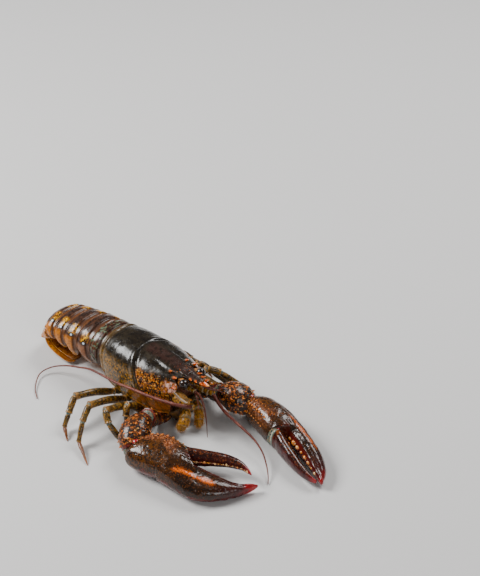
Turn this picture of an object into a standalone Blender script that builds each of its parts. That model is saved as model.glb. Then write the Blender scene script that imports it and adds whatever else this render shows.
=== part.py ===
"""American lobster at life size, standing still with its tail curled under and both claws forward.

+X runs from tail to head, +Y to the animal's left and +Z up. The origin lies on the flat underside
of the breastplate, halfway along it. Lengths in the functions are millimetres, turned into metres
as each mesh is made.
"""
from math import cos, pi, radians, sin, sqrt
import random

import bmesh
import bpy
from mathutils import Matrix, Vector
import numpy as np

MM = 0.001
JOINT_GAP = 0.3
SEED = 11

CARAPACE_REAR = -41.0
CARAPACE_FRONT = 37.0
CARAPACE_HALF_WIDTH = 24.0
BACK_HEIGHT = 47.0
MARGIN_HEIGHT = 10.0
BREAST_TOP = 15.5
BREAST_FOOT = 10.0
ROSTRUM_REACH = 20.0
FLANK_TOP = MARGIN_HEIGHT - JOINT_GAP

RIGHT = -1
LEFT = 1
SIDES = ((RIGHT, "right"), (LEFT, "left"))

UP = Vector((0, 0, 1))
AHEAD = Vector((1, 0, 0))

SHELL_DARK = ("shell_dark", (0.055, 0.036, 0.018), 0.3)
SHELL_MOTTLED = ("shell_mottled", (0.16, 0.06, 0.018), 0.32)
SHELL_ORANGE = ("shell_orange", (0.5, 0.16, 0.03), 0.35)
CLAW_RED = ("claw_red", (0.2, 0.02, 0.012), 0.25)
LEG_OLIVE = ("leg_olive", (0.2, 0.12, 0.035), 0.38)
FEELER_RED = ("feeler_red", (0.24, 0.07, 0.05), 0.4)
MOUTH_YELLOW = ("mouth_yellow", (0.5, 0.24, 0.05), 0.6)
BELLY_PALE = ("belly_pale", (0.35, 0.27, 0.16), 0.5)
EYE_BLACK = ("eye_black", (0.01, 0.008, 0.006), 0.15)


def clear_scene():
    for old in list(bpy.data.objects):
        bpy.data.objects.remove(old)


def new_collection(name):
    made = bpy.data.collections.new(name)
    bpy.context.scene.collection.children.link(made)
    return made


def finish_of(kind):
    """Principled material named for a finish, made once and shared."""
    name, colour, roughness = kind
    made = bpy.data.materials.get(name)
    if made:
        return made
    made = bpy.data.materials.new(name)
    made.use_nodes = True
    shader = made.node_tree.nodes["Principled BSDF"]
    shader.inputs["Base Color"].default_value = (*colour, 1)
    shader.inputs["Roughness"].default_value = roughness
    shader.inputs["Metallic"].default_value = 0.0
    return made


def keyed(keys, t):
    """Smooth values at t through rows of (t, value, ...), held level past both ends."""
    rows = np.array(keys, dtype=float)
    ts = rows[:, 0]
    values = rows[:, 1:]
    t = min(max(t, ts[0]), ts[-1])
    i = int(min(max(np.searchsorted(ts, t) - 1, 0), len(ts) - 2))
    slopes = np.gradient(values, ts, axis=0)
    span = ts[i + 1] - ts[i]
    s = (t - ts[i]) / span
    start = (2 * s ** 3 - 3 * s ** 2 + 1) * values[i] + (s ** 3 - 2 * s ** 2 + s) * span * slopes[i]
    end = (3 * s ** 2 - 2 * s ** 3) * values[i + 1] + (s ** 3 - s ** 2) * span * slopes[i + 1]
    found = start + end
    return float(found[0]) if len(found) == 1 else found


def loft(rings):
    """Closed skin through rings of equal count, with a flat cap on each end."""
    solid = bmesh.new()
    rows = [[solid.verts.new(Vector(p) * MM) for p in ring] for ring in rings]
    count = len(rows[0])
    for near, far in zip(rows, rows[1:]):
        for i in range(count):
            j = (i + 1) % count
            solid.faces.new((near[i], near[j], far[j], far[i]))
    solid.faces.new(rows[0][::-1])
    solid.faces.new(rows[-1])
    bmesh.ops.triangulate(solid, faces=solid.faces[:])
    bmesh.ops.recalc_face_normals(solid, faces=solid.faces[:])
    return solid


def oval(centre, normal, side, half_width, half_height, count, power=2.0):
    """Ring of points on a superellipse that faces along normal."""
    normal = Vector(normal).normalized()
    across = Vector(side)
    across = (across - across.dot(normal) * normal).normalized()
    upward = normal.cross(across)
    ring = []
    for i in range(count):
        a = 2 * pi * i / count
        c = cos(a)
        s = sin(a)
        u = half_width * (abs(c) ** (2 / power)) * (1 if c >= 0 else -1)
        v = half_height * (abs(s) ** (2 / power)) * (1 if s >= 0 else -1)
        ring.append(Vector(centre) + across * u + upward * v)
    return ring


def tube(stations, side, count=8, start=None, end=None, power=2.0):
    """Limb skin through (centre, half width, half height) stations."""
    centres = [Vector(s[0]) for s in stations]
    rings = []
    for i, (centre, half_width, half_height) in enumerate(stations):
        ahead = centres[min(i + 1, len(centres) - 1)] - centres[max(i - 1, 0)]
        if i == 0 and start is not None:
            ahead = Vector(start)
        if i == len(stations) - 1 and end is not None:
            ahead = Vector(end)
        ring = oval(centre, ahead, side, half_width, half_height, count, power)
        rings.append([Vector((p.x, p.y, max(p.z, 0.0))) for p in ring])
    return loft(rings)


def trim(solid, point, normal):
    """Cut a closed solid by a plane, drop what lies past it and close the hole."""
    cut = bmesh.ops.bisect_plane(
        solid, geom=solid.verts[:] + solid.edges[:] + solid.faces[:], dist=1e-7,
        plane_co=Vector(point) * MM, plane_no=Vector(normal), clear_outer=True)
    rim = [e for e in cut["geom_cut"] if isinstance(e, bmesh.types.BMEdge)]
    bmesh.ops.holes_fill(solid, edges=rim, sides=0)
    bmesh.ops.triangulate(solid, faces=solid.faces[:])
    bmesh.ops.remove_doubles(solid, verts=solid.verts[:], dist=2e-6)
    bmesh.ops.recalc_face_normals(solid, faces=solid.faces[:])
    return solid


def spine(root, direction, radius, length, sides=5):
    """Tapered spine whose root is sunk below the surface it stands on."""
    direction = Vector(direction).normalized()
    sunk = 0.45 * length
    turn = UP.rotation_difference(direction).to_matrix().to_4x4()
    middle = (Vector(root) + direction * (length - sunk) / 2) * MM
    solid = bmesh.new()
    bmesh.ops.create_cone(
        solid, cap_ends=True, segments=sides, radius1=radius * MM, radius2=0.16 * radius * MM,
        depth=(length + sunk) * MM, matrix=Matrix.Translation(middle) @ turn)
    bmesh.ops.triangulate(solid, faces=solid.faces[:])
    return solid


def knob(centre, radius, stretch=(1, 1, 1), turn=0.0):
    """Rounded lump, such as a molar tooth or an eye."""
    solid = bmesh.new()
    shape = Matrix.Diagonal((*(Vector(stretch) * radius * MM), 1))
    place = Matrix.Translation(Vector(centre) * MM) @ Matrix.Rotation(turn, 4, "Z")
    bmesh.ops.create_uvsphere(solid, u_segments=8, v_segments=5, radius=1, matrix=place @ shape)
    bmesh.ops.triangulate(solid, faces=solid.faces[:])
    return solid


def hidden_object(name, solid, collection):
    mesh = bpy.data.meshes.new(name)
    solid.to_mesh(mesh)
    solid.free()
    made = bpy.data.objects.new(name, mesh)
    collection.objects.link(made)
    return made


def keep_largest(mesh):
    """Weld a mesh and leave only its largest closed surface."""
    solid = bmesh.new()
    solid.from_mesh(mesh)
    bmesh.ops.remove_doubles(solid, verts=solid.verts[:], dist=4e-6)
    bmesh.ops.dissolve_degenerate(solid, edges=solid.edges[:], dist=4e-6)
    bmesh.ops.triangulate(solid, faces=solid.faces[:])
    left = set(solid.verts)
    shells = []
    while left:
        queue = [left.pop()]
        shell = set(queue)
        while queue:
            for edge in queue.pop().link_edges:
                for vertex in edge.verts:
                    if vertex in left:
                        left.discard(vertex)
                        shell.add(vertex)
                        queue.append(vertex)
        shells.append(shell)
    keep = max(shells, key=len)
    bmesh.ops.delete(solid, geom=[v for v in solid.verts if v not in keep], context="VERTS")
    bmesh.ops.recalc_face_normals(solid, faces=solid.faces[:])
    solid.to_mesh(mesh)
    solid.free()


def add_part(name, solids, finish):
    """One named body: the first solid with the others fused to it."""
    body = hidden_object(name, solids[0], PARTS)
    if len(solids) > 1:
        pieces = new_collection(name + "_pieces")
        for number, solid in enumerate(solids[1:]):
            hidden_object(f"{name}_piece_{number}", solid, pieces)
        union = body.modifiers.new("union", "BOOLEAN")
        union.operation = "UNION"
        union.operand_type = "COLLECTION"
        union.collection = pieces
        union.solver = "EXACT"
        seen = body.evaluated_get(bpy.context.evaluated_depsgraph_get())
        fused = bpy.data.meshes.new_from_object(seen)
        body.modifiers.remove(union)
        body.data = fused
        for piece in list(pieces.objects):
            bpy.data.objects.remove(piece)
        bpy.data.collections.remove(pieces)
    keep_largest(body.data)
    body.data.materials.clear()
    body.data.materials.append(finish_of(finish))
    body.data.shade_smooth()
    body.data.set_sharp_from_angle(angle=radians(40))
    return body


def half_arch(half_width, top, middle, bottom, tuck, rise=8, fall=4, power=2.2):
    """Points (y, z) from the ridge down one side to the lower margin."""
    points = []
    for i in range(rise + 1):
        a = pi / 2 * i / rise
        y = half_width * sin(a) ** (2 / power)
        z = middle + (top - middle) * max(cos(a), 0) ** (2 / power)
        points.append((y, z))
    for i in range(1, fall + 1):
        a = pi / 2 * i / fall
        y = half_width * (tuck + (1 - tuck) * cos(a))
        z = middle - (middle - bottom) * sin(a)
        points.append((y, z))
    return points


def both_sides(half):
    """Full ring from a half arch, without doubling the ridge point."""
    return half + [(-y, z) for y, z in half[:0:-1]]


# Carapace: half width, ridge height and lower margin along the body
CARAPACE_SHAPE = (
    (CARAPACE_REAR, CARAPACE_HALF_WIDTH - 4.5, BACK_HEIGHT - 3.5, MARGIN_HEIGHT + 9.0),
    (-34, CARAPACE_HALF_WIDTH - 2.2, BACK_HEIGHT - 1.8, MARGIN_HEIGHT + 2.5),
    (-26, CARAPACE_HALF_WIDTH - 0.7, BACK_HEIGHT - 0.6, MARGIN_HEIGHT),
    (-10, CARAPACE_HALF_WIDTH, BACK_HEIGHT, MARGIN_HEIGHT),
    (6, CARAPACE_HALF_WIDTH - 0.2, BACK_HEIGHT, MARGIN_HEIGHT),
    (16, CARAPACE_HALF_WIDTH - 1.4, BACK_HEIGHT - 0.4, MARGIN_HEIGHT),
    (26, CARAPACE_HALF_WIDTH - 4.0, BACK_HEIGHT - 1.2, MARGIN_HEIGHT + 1.4),
    (33, CARAPACE_HALF_WIDTH - 7.0, BACK_HEIGHT - 2.0, MARGIN_HEIGHT + 3.6),
    (CARAPACE_FRONT + 5, CARAPACE_HALF_WIDTH - 11.0, BACK_HEIGHT - 3.0, MARGIN_HEIGHT + 6.0),
)
# Where each ring of the shell meets the ridge and the lower margin
RING_SWEEP = ((-41, -41), (-31, -21), (-20, 0), (-9, 16), (5, 24), (20, 29), (40, 36))
# Width of the shell at its lower margin, as a part of its greatest width
MARGIN_TUCK = 0.96
NECK_GROOVE = -9.0
GROOVE_DEPTH = 1.5
RIM_RAISE = 0.7
FACE_POINT = Vector((CARAPACE_FRONT, 0, 44))
FACE_NORMAL = Vector((0.985, 0, -0.174))


def shell_size(x):
    """Half width, ridge height and lower margin of the shell at x."""
    width, top, bottom = keyed(CARAPACE_SHAPE, x)
    return width, top, max(bottom, MARGIN_HEIGHT)


def carapace_ring(ridge_x, swell=0.0):
    """Ring of the shell that sweeps forward from the ridge down to the margin."""
    margin_x = keyed(RING_SWEEP, ridge_x)
    steps = len(half_arch(1, 1, 0.5, 0, 1))
    half = []
    for i in range(steps):
        _, top, bottom = shell_size(ridge_x)
        level = half_arch(1, top, bottom + 0.42 * (top - bottom), bottom, MARGIN_TUCK)[i][1]
        x = ridge_x + (margin_x - ridge_x) * (top - level) / (top - bottom)
        width, top, bottom = shell_size(x)
        middle = bottom + 0.42 * (top - bottom)
        y, z = half_arch(width, top, middle, bottom, MARGIN_TUCK)[i]
        reach = Vector((0, y, z - middle))
        if z > bottom + 0.5:
            reach += reach.normalized() * swell
        half.append((x, reach.y, middle + reach.z))
    return half + [(x, -y, z) for x, y, z in half[:0:-1]]


def make_carapace():
    rings = [
        carapace_ring(-41.0, RIM_RAISE), carapace_ring(-39.4, RIM_RAISE), carapace_ring(-38.6)]
    rings += [carapace_ring(x) for x in (-34, -29, -24, -19, -14.5, -11.2)]
    rings.append(carapace_ring(NECK_GROOVE, -GROOVE_DEPTH))
    rings += [carapace_ring(x) for x in (-6.8, -3, 3, 9, 15, 21, 27, 32, 36, 40)]
    shell = trim(loft(rings), FACE_POINT, FACE_NORMAL)
    shell = trim(shell, (CARAPACE_REAR, 0, 0), (-1, 0, 0))
    solids = [shell, make_rostrum()]
    for side in (RIGHT, LEFT):
        # Three spines on each edge of the rostrum, then the row behind the eye
        for step in range(3):
            x = 41.5 + 4.6 * step
            y = side * (4.1 - 0.85 * step)
            solids.append(spine((x, y, 43.4), (0.8, side * 0.5, 0.35), 1.0, 3.6))
        solids.append(spine((31.0, side * 10.5, 42.4), (0.75, side * 0.25, 0.6), 1.2, 4.2))
        solids.append(spine((25.0, side * 8.5, 44.3), (0.75, side * 0.15, 0.65), 1.0, 3.0))
        solids.append(spine((33.0, side * 14.2, 37.0), (0.9, side * 0.35, 0.2), 1.2, 3.4))
    return add_part("carapace", solids, SHELL_DARK)


def make_rostrum():
    """Beak between the eyes, hollowed along its top and slightly upturned at its tip."""
    shape = (
        (22, 3.0, 44.6, 42.0), (30, 5.2, 45.2, 40.5), (37, 4.9, 44.9, 39.8),
        (44, 3.9, 44.2, 40.0), (50, 2.6, 43.6, 40.4), (54, 1.5, 43.4, 41.2),
        (CARAPACE_FRONT + ROSTRUM_REACH, 0.4, 43.6, 42.9))
    rings = []
    for x, half_width, top, bottom in shape:
        middle = (top + bottom) / 2
        dish = 0.22 * (top - bottom)
        half = ((0, top - dish), (0.55 * half_width, top), (half_width, middle),
                (0.5 * half_width, bottom), (0, bottom))
        ring = [(x, y, z) for y, z in half] + [(x, -y, z) for y, z in half[-2:0:-1]]
        rings.append(ring)
    return loft(rings)


def make_breast():
    """Underside of the body, flat where it rests, with sloping flanks that carry the legs."""
    feet = ((-41, 6.5, 11.0), (-36, 8.5, 4.0), (-32, BREAST_FOOT, 0.0), (31, BREAST_FOOT, 0.0), (34.5, 7.5, 3.0))
    rings = []
    for x in (-41, -39, -37, -35, -33.5, -32, -26, 22, 26, 31, 33, 34.5):
        foot_width, foot = (float(np.interp(x, [f[0] for f in feet], [f[k] for f in feet])) for k in (1, 2))
        top = min(shell_size(x + aside)[2] for aside in (-2.5, 0, 2.5)) - JOINT_GAP
        top_width = foot_width + (BREAST_TOP - BREAST_FOOT) * (top - foot) / FLANK_TOP
        ring = ((x, top_width, top), (x, foot_width, foot), (x, -foot_width, foot), (x, -top_width, top))
        rings.append(ring)
    return add_part("breastplate", [loft(rings)], BELLY_PALE)


# Tail joints seen from the side: distance behind the carapace, height and slope of the back,
# then how deep the ring at each joint is, its half width and its shift to the right
TAIL_JOINTS = (
    (0.15, 42.6, 0, 29.0, 20.0, 0.0),
    (12.5, 42.2, 6, 28.0, 20.4, 0.8),
    (26.5, 40.8, 10, 26.0, 20.6, 2.2),
    (40.0, 38.8, 14, 24.0, 20.4, 3.8),
    (51.5, 36.4, 22, 21.5, 20.2, 5.2),
    (62.5, 32.0, 40, 18.5, 19.6, 6.6),
    (70.5, 13.5, 96, 11.0, 16.5, 8.2),
)
TAIL_SEGMENTS = len(TAIL_JOINTS) - 1
# How far each side plate hangs below its ring, and how far its tip is swept back
PLEURON_DROPS = (0.0, 3.0, 4.0, 1.5, -2.0, 0.0)
PLEURON_SWEEPS = (0.0, 0.0, 3.6, 2.6, 1.6, 0.0)


def tail_frame(place):
    """Where a ring of the tail stands: its back, the ways inward and along, and its size."""
    rows = [(k, *joint) for k, joint in enumerate(TAIL_JOINTS)]
    back, height, slope, depth, width, shift = keyed(rows, place)
    slope = radians(slope)
    origin = Vector((CARAPACE_REAR - back, -shift, height))
    inward = Vector((sin(slope), 0, -cos(slope)))
    along = Vector((-cos(slope), 0, -sin(slope)))
    return origin, inward, along, depth, width


def tail_ring(place, swell=0.0, offset=0.0):
    origin, inward, along, depth, width = tail_frame(place)
    half = half_arch(width + swell, swell, -0.55 * depth, -depth, 0.74, rise=6, fall=3, power=2.1)
    ring = [origin + along * offset + Vector((0, y, 0)) - inward * z for y, z in both_sides(half)]
    return [Vector((p.x, p.y, max(p.z, 0.0))) for p in ring]


def make_pleuron(number, side):
    """Side plate that hangs from a tail ring and narrows to a point."""
    rings = []
    for reach, spread, thick in ((0.0, 0.36, 1.6), (0.4, 0.34, 1.5), (0.75, 0.22, 1.2), (1.0, 0.07, 0.8)):
        rows = []
        for place in (number + 0.52 - spread, number + 0.52 + spread):
            origin, inward, along, depth, width = tail_frame(place)
            fall = 0.5 * depth + reach * (0.5 * depth + PLEURON_DROPS[number])
            edge = origin + inward * fall + along * PLEURON_SWEEPS[number] * reach ** 2
            out = 0.975 * width - 0.8 * reach - 3.6 * reach ** 2
            rows += [edge + Vector((0, side * out, 0)), edge + Vector((0, side * (out - thick), 0))]
        rings.append((rows[0], rows[2], rows[3], rows[1]))
    return loft(rings)


def make_tail():
    half_gap = JOINT_GAP / 2
    for number in range(TAIL_SEGMENTS):
        # Each ring dips where it slides under the one ahead and flares at its rear edge
        rings = [tail_ring(number, -0.7, half_gap), tail_ring(number + 0.3, -0.5)]
        rings += [tail_ring(number + 0.4, 0.3), tail_ring(number + 0.75, 0.5)]
        rings.append(tail_ring(number + 1, 0.3, -half_gap))
        solids = [loft(rings)]
        if PLEURON_DROPS[number]:
            solids += [make_pleuron(number, side) for side, _ in SIDES]
        add_part(f"abdomen_{number + 1}", solids, SHELL_MOTTLED)


# Route of the fan as it curls on under the body: way along it, distance behind the carapace, height
FAN_ROUTE = (
    (-2.0, 70.7, 15.5), (0.0, 70.5, 13.5), (8.2, 66.8, 6.2), (15.5, 60.5, 2.4), (24.2, 52.0, 0.8),
    (38.2, 38.0, 0.2), (46.2, 30.0, 0.2))
BLADE_STEPS = (0, 0.08, 0.16, 0.24, 0.32, 0.4, 0.5, 0.6, 0.7, 0.8, 0.88, 0.94, 0.98, 1.0)


def fan_spot(way):
    """Point of the fan's route and the direction inward from it."""
    back, height = keyed(FAN_ROUTE, way)
    (near_back, near_height), (far_back, far_height) = (keyed(FAN_ROUTE, way + step) for step in (-0.5, 0.5))
    inward = Vector((near_height - far_height, 0, near_back - far_back)).normalized()
    return Vector((CARAPACE_REAR - back, 0, height)), inward


def fan_blade(aside, heading, length, widths, low, thick):
    """Blade of the tail fan, bent along the fan's route, with a rounded end."""
    origin, _, along, _, _ = tail_frame(TAIL_SEGMENTS)
    rings = []
    for t in BLADE_STEPS:
        width = keyed(widths, t)
        centre, inward = fan_spot(length * t - 1.0)
        centre.y = origin.y + aside + sin(radians(heading)) * length * t
        edge = 0.35 * thick
        rise = low + 0.5 * thick
        half = ((-width, rise), (-0.8 * width, low), (0.8 * width, low), (width, rise),
                (0.75 * width, low + thick), (0, low + thick + edge), (-0.75 * width, low + thick))
        rings.append([centre + Vector((0, u, 0)) + inward * z for u, z in half])
    return trim(loft(rings), origin + along * JOINT_GAP / 2, -along)


def make_fan():
    """Telson outermost in the curl, with the wide inner and then the outer blades inside it."""
    telson = ((0.0, 9.5), (0.3, 10.0), (0.7, 8.6), (0.9, 7.2), (0.98, 4.6), (1.0, 2.2))
    blade = ((0.0, 4.0), (0.12, 5.2), (0.4, 7.0), (0.7, 7.4), (0.88, 7.0), (0.96, 5.6), (1.0, 3.4))
    add_part("telson", [fan_blade(0, 0, 38, telson, 0.0, 1.6)], SHELL_ORANGE)
    slim = [(t, 0.75 * width) for t, width in blade]
    for side, word in SIDES:
        inner = fan_blade(side * 7.7, side * 0.6, 44, blade, 2.5, 0.9)
        outer = fan_blade(side * 5.9, side * 0.4, 44, slim, 4.1, 0.9)
        add_part(f"uropod_inner_{word}", [inner], SHELL_ORANGE)
        add_part(f"uropod_outer_{word}", [outer], SHELL_ORANGE)


def make_head():
    for side, word in SIDES:
        make_eye(side, word)
        make_antenna(side, word)
        make_antennule(side, word)
        make_maxilliped(side, word)


FACE_GAP = FACE_POINT + FACE_NORMAL * JOINT_GAP
EYE_PLACE = (39.8, 8.9, 40.4)
EYE_RADIUS = 3.9


def make_eye(side, word):
    """Kidney-shaped eye on a short stalk that fills the notch beside the beak."""
    x, y, z = EYE_PLACE
    centre = Vector((x, side * y, z))
    ball = bmesh.new()
    bmesh.ops.create_uvsphere(
        ball, u_segments=12, v_segments=8, radius=EYE_RADIUS * MM,
        matrix=Matrix.Translation(centre * MM))
    ball = trim(ball, FACE_GAP, -FACE_NORMAL)
    add_part(f"eye_{word}", [ball], EYE_BLACK)


# Routes of the long feelers, in order from their roots
FEELER_RIGHT = (
    (50.5, -13.2, 27.5), (50.0, -18.0, 31.0), (44.0, -24.0, 33.5), (25.0, -29.0, 32.5), (5.0, -30.5, 29.5),
    (-12.0, -31.5, 26.5), (-38.0, -31.5, 23.0), (-55.0, -31.5, 16.0), (-69.0, -32.5, 10.0),
    (-80.0, -38.0, 5.5), (-83.0, -48.0, 2.8), (-74.0, -60.0, 1.4), (-64.0, -66.5, 0.9))
FEELER_LEFT = (
    (51.0, 10.5, 24.5), (56.0, 9.5, 21.5), (64.0, 8.5, 17.5), (76.0, 7.6, 15.0), (88.0, 6.8, 13.0),
    (98.0, 5.6, 11.0), (108.0, 2.6, 8.0), (117.0, -3.0, 5.0), (123.0, -8.0, 2.8), (127.5, -13.0, 1.0))


def feeler(name, route, root_radius, tip_radius, count, finish, start=None):
    """Long whip that tapers along a smooth route."""
    rows = [(k, *point) for k, point in enumerate(route)]
    last = len(route) - 1
    stations = []
    for i in range(count):
        t = i / (count - 1)
        radius = root_radius + (tip_radius - root_radius) * t ** 0.8
        stations.append((keyed(rows, last * t), radius, radius))
    solid = tube(stations, (0.2, 0.3, 1.0), count=6, start=start)
    if start is not None:
        solid = trim(solid, route[0], -start)
    return solid if name is None else add_part(name, [solid], finish)


def make_antenna(side, word):
    """Thick jointed base with its leaf-shaped scale, and the whip beyond it."""
    route = FEELER_RIGHT if side == RIGHT else FEELER_LEFT
    tip = Vector(route[0])
    root = Vector((34.0, side * 11.5, 27.0))
    aim = (Vector(route[1]) - tip).normalized()
    knee = root.lerp(tip, 0.72)
    stations = (
        (root, 4.0, 4.6), (root.lerp(tip, 0.35), 4.2, 4.6), (knee, 3.6, 3.8),
        (root.lerp(tip, 0.82), 2.7, 2.7), (tip - aim * 1.2, 2.2, 2.2), (tip - aim * JOINT_GAP, 1.7, 1.7))
    base = trim(tube(stations, UP, count=10, end=aim), FACE_GAP, -FACE_NORMAL)
    base = trim(base, tip - aim * JOINT_GAP, aim)
    lateral = spine((42.0, side * 15.0, 27.0), (0.8, side * 0.6, 0), 1.2, 4.0)
    add_part(f"antenna_base_{word}", [base, lateral], SHELL_MOTTLED)
    make_scale(side, word)
    feeler(f"antenna_{word}", route, 1.25, 0.3, 40, FEELER_RED, start=aim)


def make_scale(side, word):
    """Leaf-shaped scale beside the antenna base, pointed at its outer front corner."""
    rings = []
    for x, inner, outer, thick in (
            (34, 12.0, 15.5, 1.2), (39, 11.8, 16.4, 1.3), (44, 11.6, 17.0, 1.2), (48, 12.4, 16.8, 1.0),
            (51, 14.2, 16.4, 0.8), (53, 15.6, 16.2, 0.6)):
        lift = 34.4 - 0.06 * (x - 34)
        droop = -0.35
        middle = (inner + outer) / 2
        ring = []
        for y, rise in ((inner, 0), (middle, thick / 2), (outer, 0), (middle, -thick / 2)):
            ring.append((x, side * y, lift + rise + droop * (y - inner)))
        rings.append(ring)
    blade = trim(loft(rings), FACE_GAP, -FACE_NORMAL)
    add_part(f"antenna_scale_{word}", [blade], SHELL_ORANGE)


def make_antennule(side, word):
    """Small feeler base below the beak with two short whips."""
    root = Vector((34.0, side * 3.6, 33.5))
    tip = Vector((46.0, side * 4.2, 34.5))
    base = tube(((root, 2.4, 2.6), (root.lerp(tip, 0.6), 2.3, 2.4), (tip, 1.5, 1.6)), UP, count=8)
    base = trim(base, FACE_GAP, -FACE_NORMAL)
    if side == RIGHT:
        upper = (tip - AHEAD * 2, (50.5, -3.6, 33.0), (55.0, -4.2, 27.0), (58.5, -5.6, 19.0),
                 (61.0, -7.2, 11.0), (63.0, -8.8, 2.0))
        lower = (tip - AHEAD * 2, (50.0, -6.0, 32.0), (54.0, -8.5, 28.5), (57.0, -11.0, 26.0))
    else:
        upper = (tip - AHEAD * 2, (51.0, 5.2, 35.5), (58.0, 7.2, 35.5), (64.0, 9.6, 33.5))
        lower = (tip - AHEAD * 2, (50.0, 6.4, 32.5), (54.5, 9.8, 31.5), (57.5, 14.0, 32.5))
    whips = [feeler(None, upper, 0.9, 0.3, 12, FEELER_RED), feeler(None, lower, 0.8, 0.3, 8, FEELER_RED)]
    add_part(f"antennule_{word}", [base] + whips, FEELER_RED)


def make_maxilliped(side, word):
    """Leg-like mouthpart folded down in front of the mouth."""
    root = Vector((35.3, side * 4.2, 8.6))
    if side == RIGHT:
        points = (root, (39.0, -7.0, 11.5), (43.5, -12.0, 11.0), (44.5, -15.5, 7.0), (41.5, -18.0, 3.2))
    else:
        points = (root, (39.0, 4.0, 12.0), (45.0, 0.5, 12.0), (49.0, -3.0, 7.5), (50.5, -5.5, 2.6))
    sizes = ((2.6, 2.6), (3.0, 3.6), (2.7, 3.6), (2.4, 3.2), (1.1, 1.5))
    stations = [(Vector(p), a, b) for p, (a, b) in zip(points, sizes)]
    limb = tube(stations, (0, 1, 0), count=8, start=AHEAD)
    add_part(f"maxilliped_{word}", [limb], MOUTH_YELLOW)


# The sloping flank of the breastplate that every leg springs from
FLANK_OUT = Vector((0, FLANK_TOP, BREAST_FOOT - BREAST_TOP)).normalized()


def flank(side, x):
    """Point just off the middle of the flank, and the way out from it."""
    out = Vector((0, side * FLANK_OUT.y, FLANK_OUT.z))
    return Vector((x, side * (BREAST_TOP + BREAST_FOOT) / 2, FLANK_TOP / 2)) + out * JOINT_GAP, out


def limb_stations(joints, sizes):
    """Stations along bent limb joints, pinched at each joint and fuller between."""
    stations = []
    for (a, b), (wide, tall) in zip(zip(joints, joints[1:]), sizes):
        a = Vector(a)
        b = Vector(b)
        for t, full in ((0.0, 0.84), (0.18, 1.0), (0.82, 0.96)):
            stations.append((a.lerp(b, t), wide * full, tall * full))
    wide, tall = sizes[-1]
    stations.append((Vector(joints[-1]), wide * 0.8, tall * 0.8))
    return stations


# Walking legs: where each springs, its knee, wrist, ankle and tip, and whether it ends in pincers
LEGS = {
    ("right", 2): (12.5, (9.0, -39.0, 20.5), (12.0, -43.0, 14.5), (16.0, -44.0, 6.0), (18.0, -43.0, 0.3), True),
    ("right", 3): (1.5, (4.5, -56.0, 24.0), (11.0, -59.5, 18.0), (18.5, -57.5, 8.0), (22.5, -55.0, 0.3), True),
    ("right", 4): (-9.5, (-9.0, -60.0, 23.5), (-5.5, -70.0, 16.5), (-1.0, -79.0, 5.0), (18.5, -88.0, 0.3), False),
    ("right", 5): (-20.5, (-26.5, -59.0, 21.0), (-22.5, -69.0, 13.5), (-21.0, -75.5, 5.0), (-11.5, -81.3, 0.3),
                   False),
    ("left", 2): (12.5, (26.0, 30.0, 23.0), (33.0, 36.5, 19.5), (43.0, 43.0, 11.0), (55.0, 51.5, 0.3), True),
    ("left", 3): (1.5, (14.0, 33.0, 20.0), (22.0, 38.0, 14.0), (31.0, 43.0, 7.0), (38.0, 46.0, 0.3), True),
    ("left", 4): (-9.5, (-8.0, 35.0, 17.0), (-1.0, 39.0, 12.0), (9.0, 43.0, 6.0), (17.0, 44.0, 0.3), False),
    ("left", 5): (-20.5, (-24.0, 34.0, 16.0), (-19.0, 39.0, 11.0), (-11.0, 43.5, 5.0), (-3.0, 44.5, 0.3), False),
}


def make_leg(word, number):
    """Walking leg in two lengths, parted at the knee."""
    side = RIGHT if word == "right" else LEFT
    x, knee, wrist, ankle, tip, pincers = LEGS[word, number]
    knee, wrist, ankle, tip = (Vector(p) for p in (knee, wrist, ankle, tip))
    root, out = flank(side, x)
    coxa = root + Vector((0.02 * (knee.x - root.x), side * 4.5, 0.0))
    hip = Vector((root.x + 0.22 * (knee.x - root.x), side * 25.0, 7.0))
    level = (knee - root).cross(UP).normalized()
    thigh = (knee - hip).normalized()
    shin = (wrist - knee).normalized()
    fold = (thigh + shin).normalized()
    middle = hip.lerp(knee, 0.5) + UP * 1.6
    upper = [(root, 3.4, 3.4), (coxa, 3.5, 3.2), (hip, 2.5, 2.7), (hip.lerp(middle, 0.4), 2.9, 3.3),
             (middle.lerp(knee, 0.55), 2.9, 3.2), (knee + thigh * 0.5, 2.5, 2.8)]
    upper = tube(upper, level, count=7, start=out)
    upper = trim(upper, knee - fold * JOINT_GAP / 2, fold)
    add_part(f"leg_{number}_{word}_thigh", [upper], LEG_OLIVE)
    reach = (tip - knee).cross(UP).normalized()
    lower = limb_stations((knee, wrist, ankle), ((2.6, 3.0), (2.2, 2.6)))
    if pincers:
        # Hand with one fixed and one moving finger
        palm_end = ankle.lerp(tip, 0.25)
        aim = (tip - ankle).normalized()
        lower.append((palm_end, 1.7, 2.3))
        shin_solids = [tube(lower, reach, count=7, start=fold, end=aim)]
        for turn, stretch in ((1, 1.0), (-1, 0.86)):
            aside = aim.cross(reach) * turn
            end = ankle.lerp(tip, stretch) + aside * 0.5
            finger = ((palm_end - aim * 1.4 + aside * 1.05, 1.2, 0.9), (palm_end.lerp(end, 0.5) + aside * 1.0, 0.9, 0.75),
                      (end, 0.35, 0.3))
            shin_solids.append(tube(finger, reach, count=6))
    else:
        bend = ankle.lerp(tip, 0.5) + UP * 0.6
        lower += [(ankle.lerp(tip, 0.12), 1.5, 1.8), (bend, 1.1, 1.25), (tip, 0.35, 0.3)]
        shin_solids = [tube(lower, reach, count=7, start=fold)]
    shin_solids[0] = trim(shin_solids[0], knee + fold * JOINT_GAP / 2, -fold)
    add_part(f"leg_{number}_{word}_shin", shin_solids, LEG_OLIVE)


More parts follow.
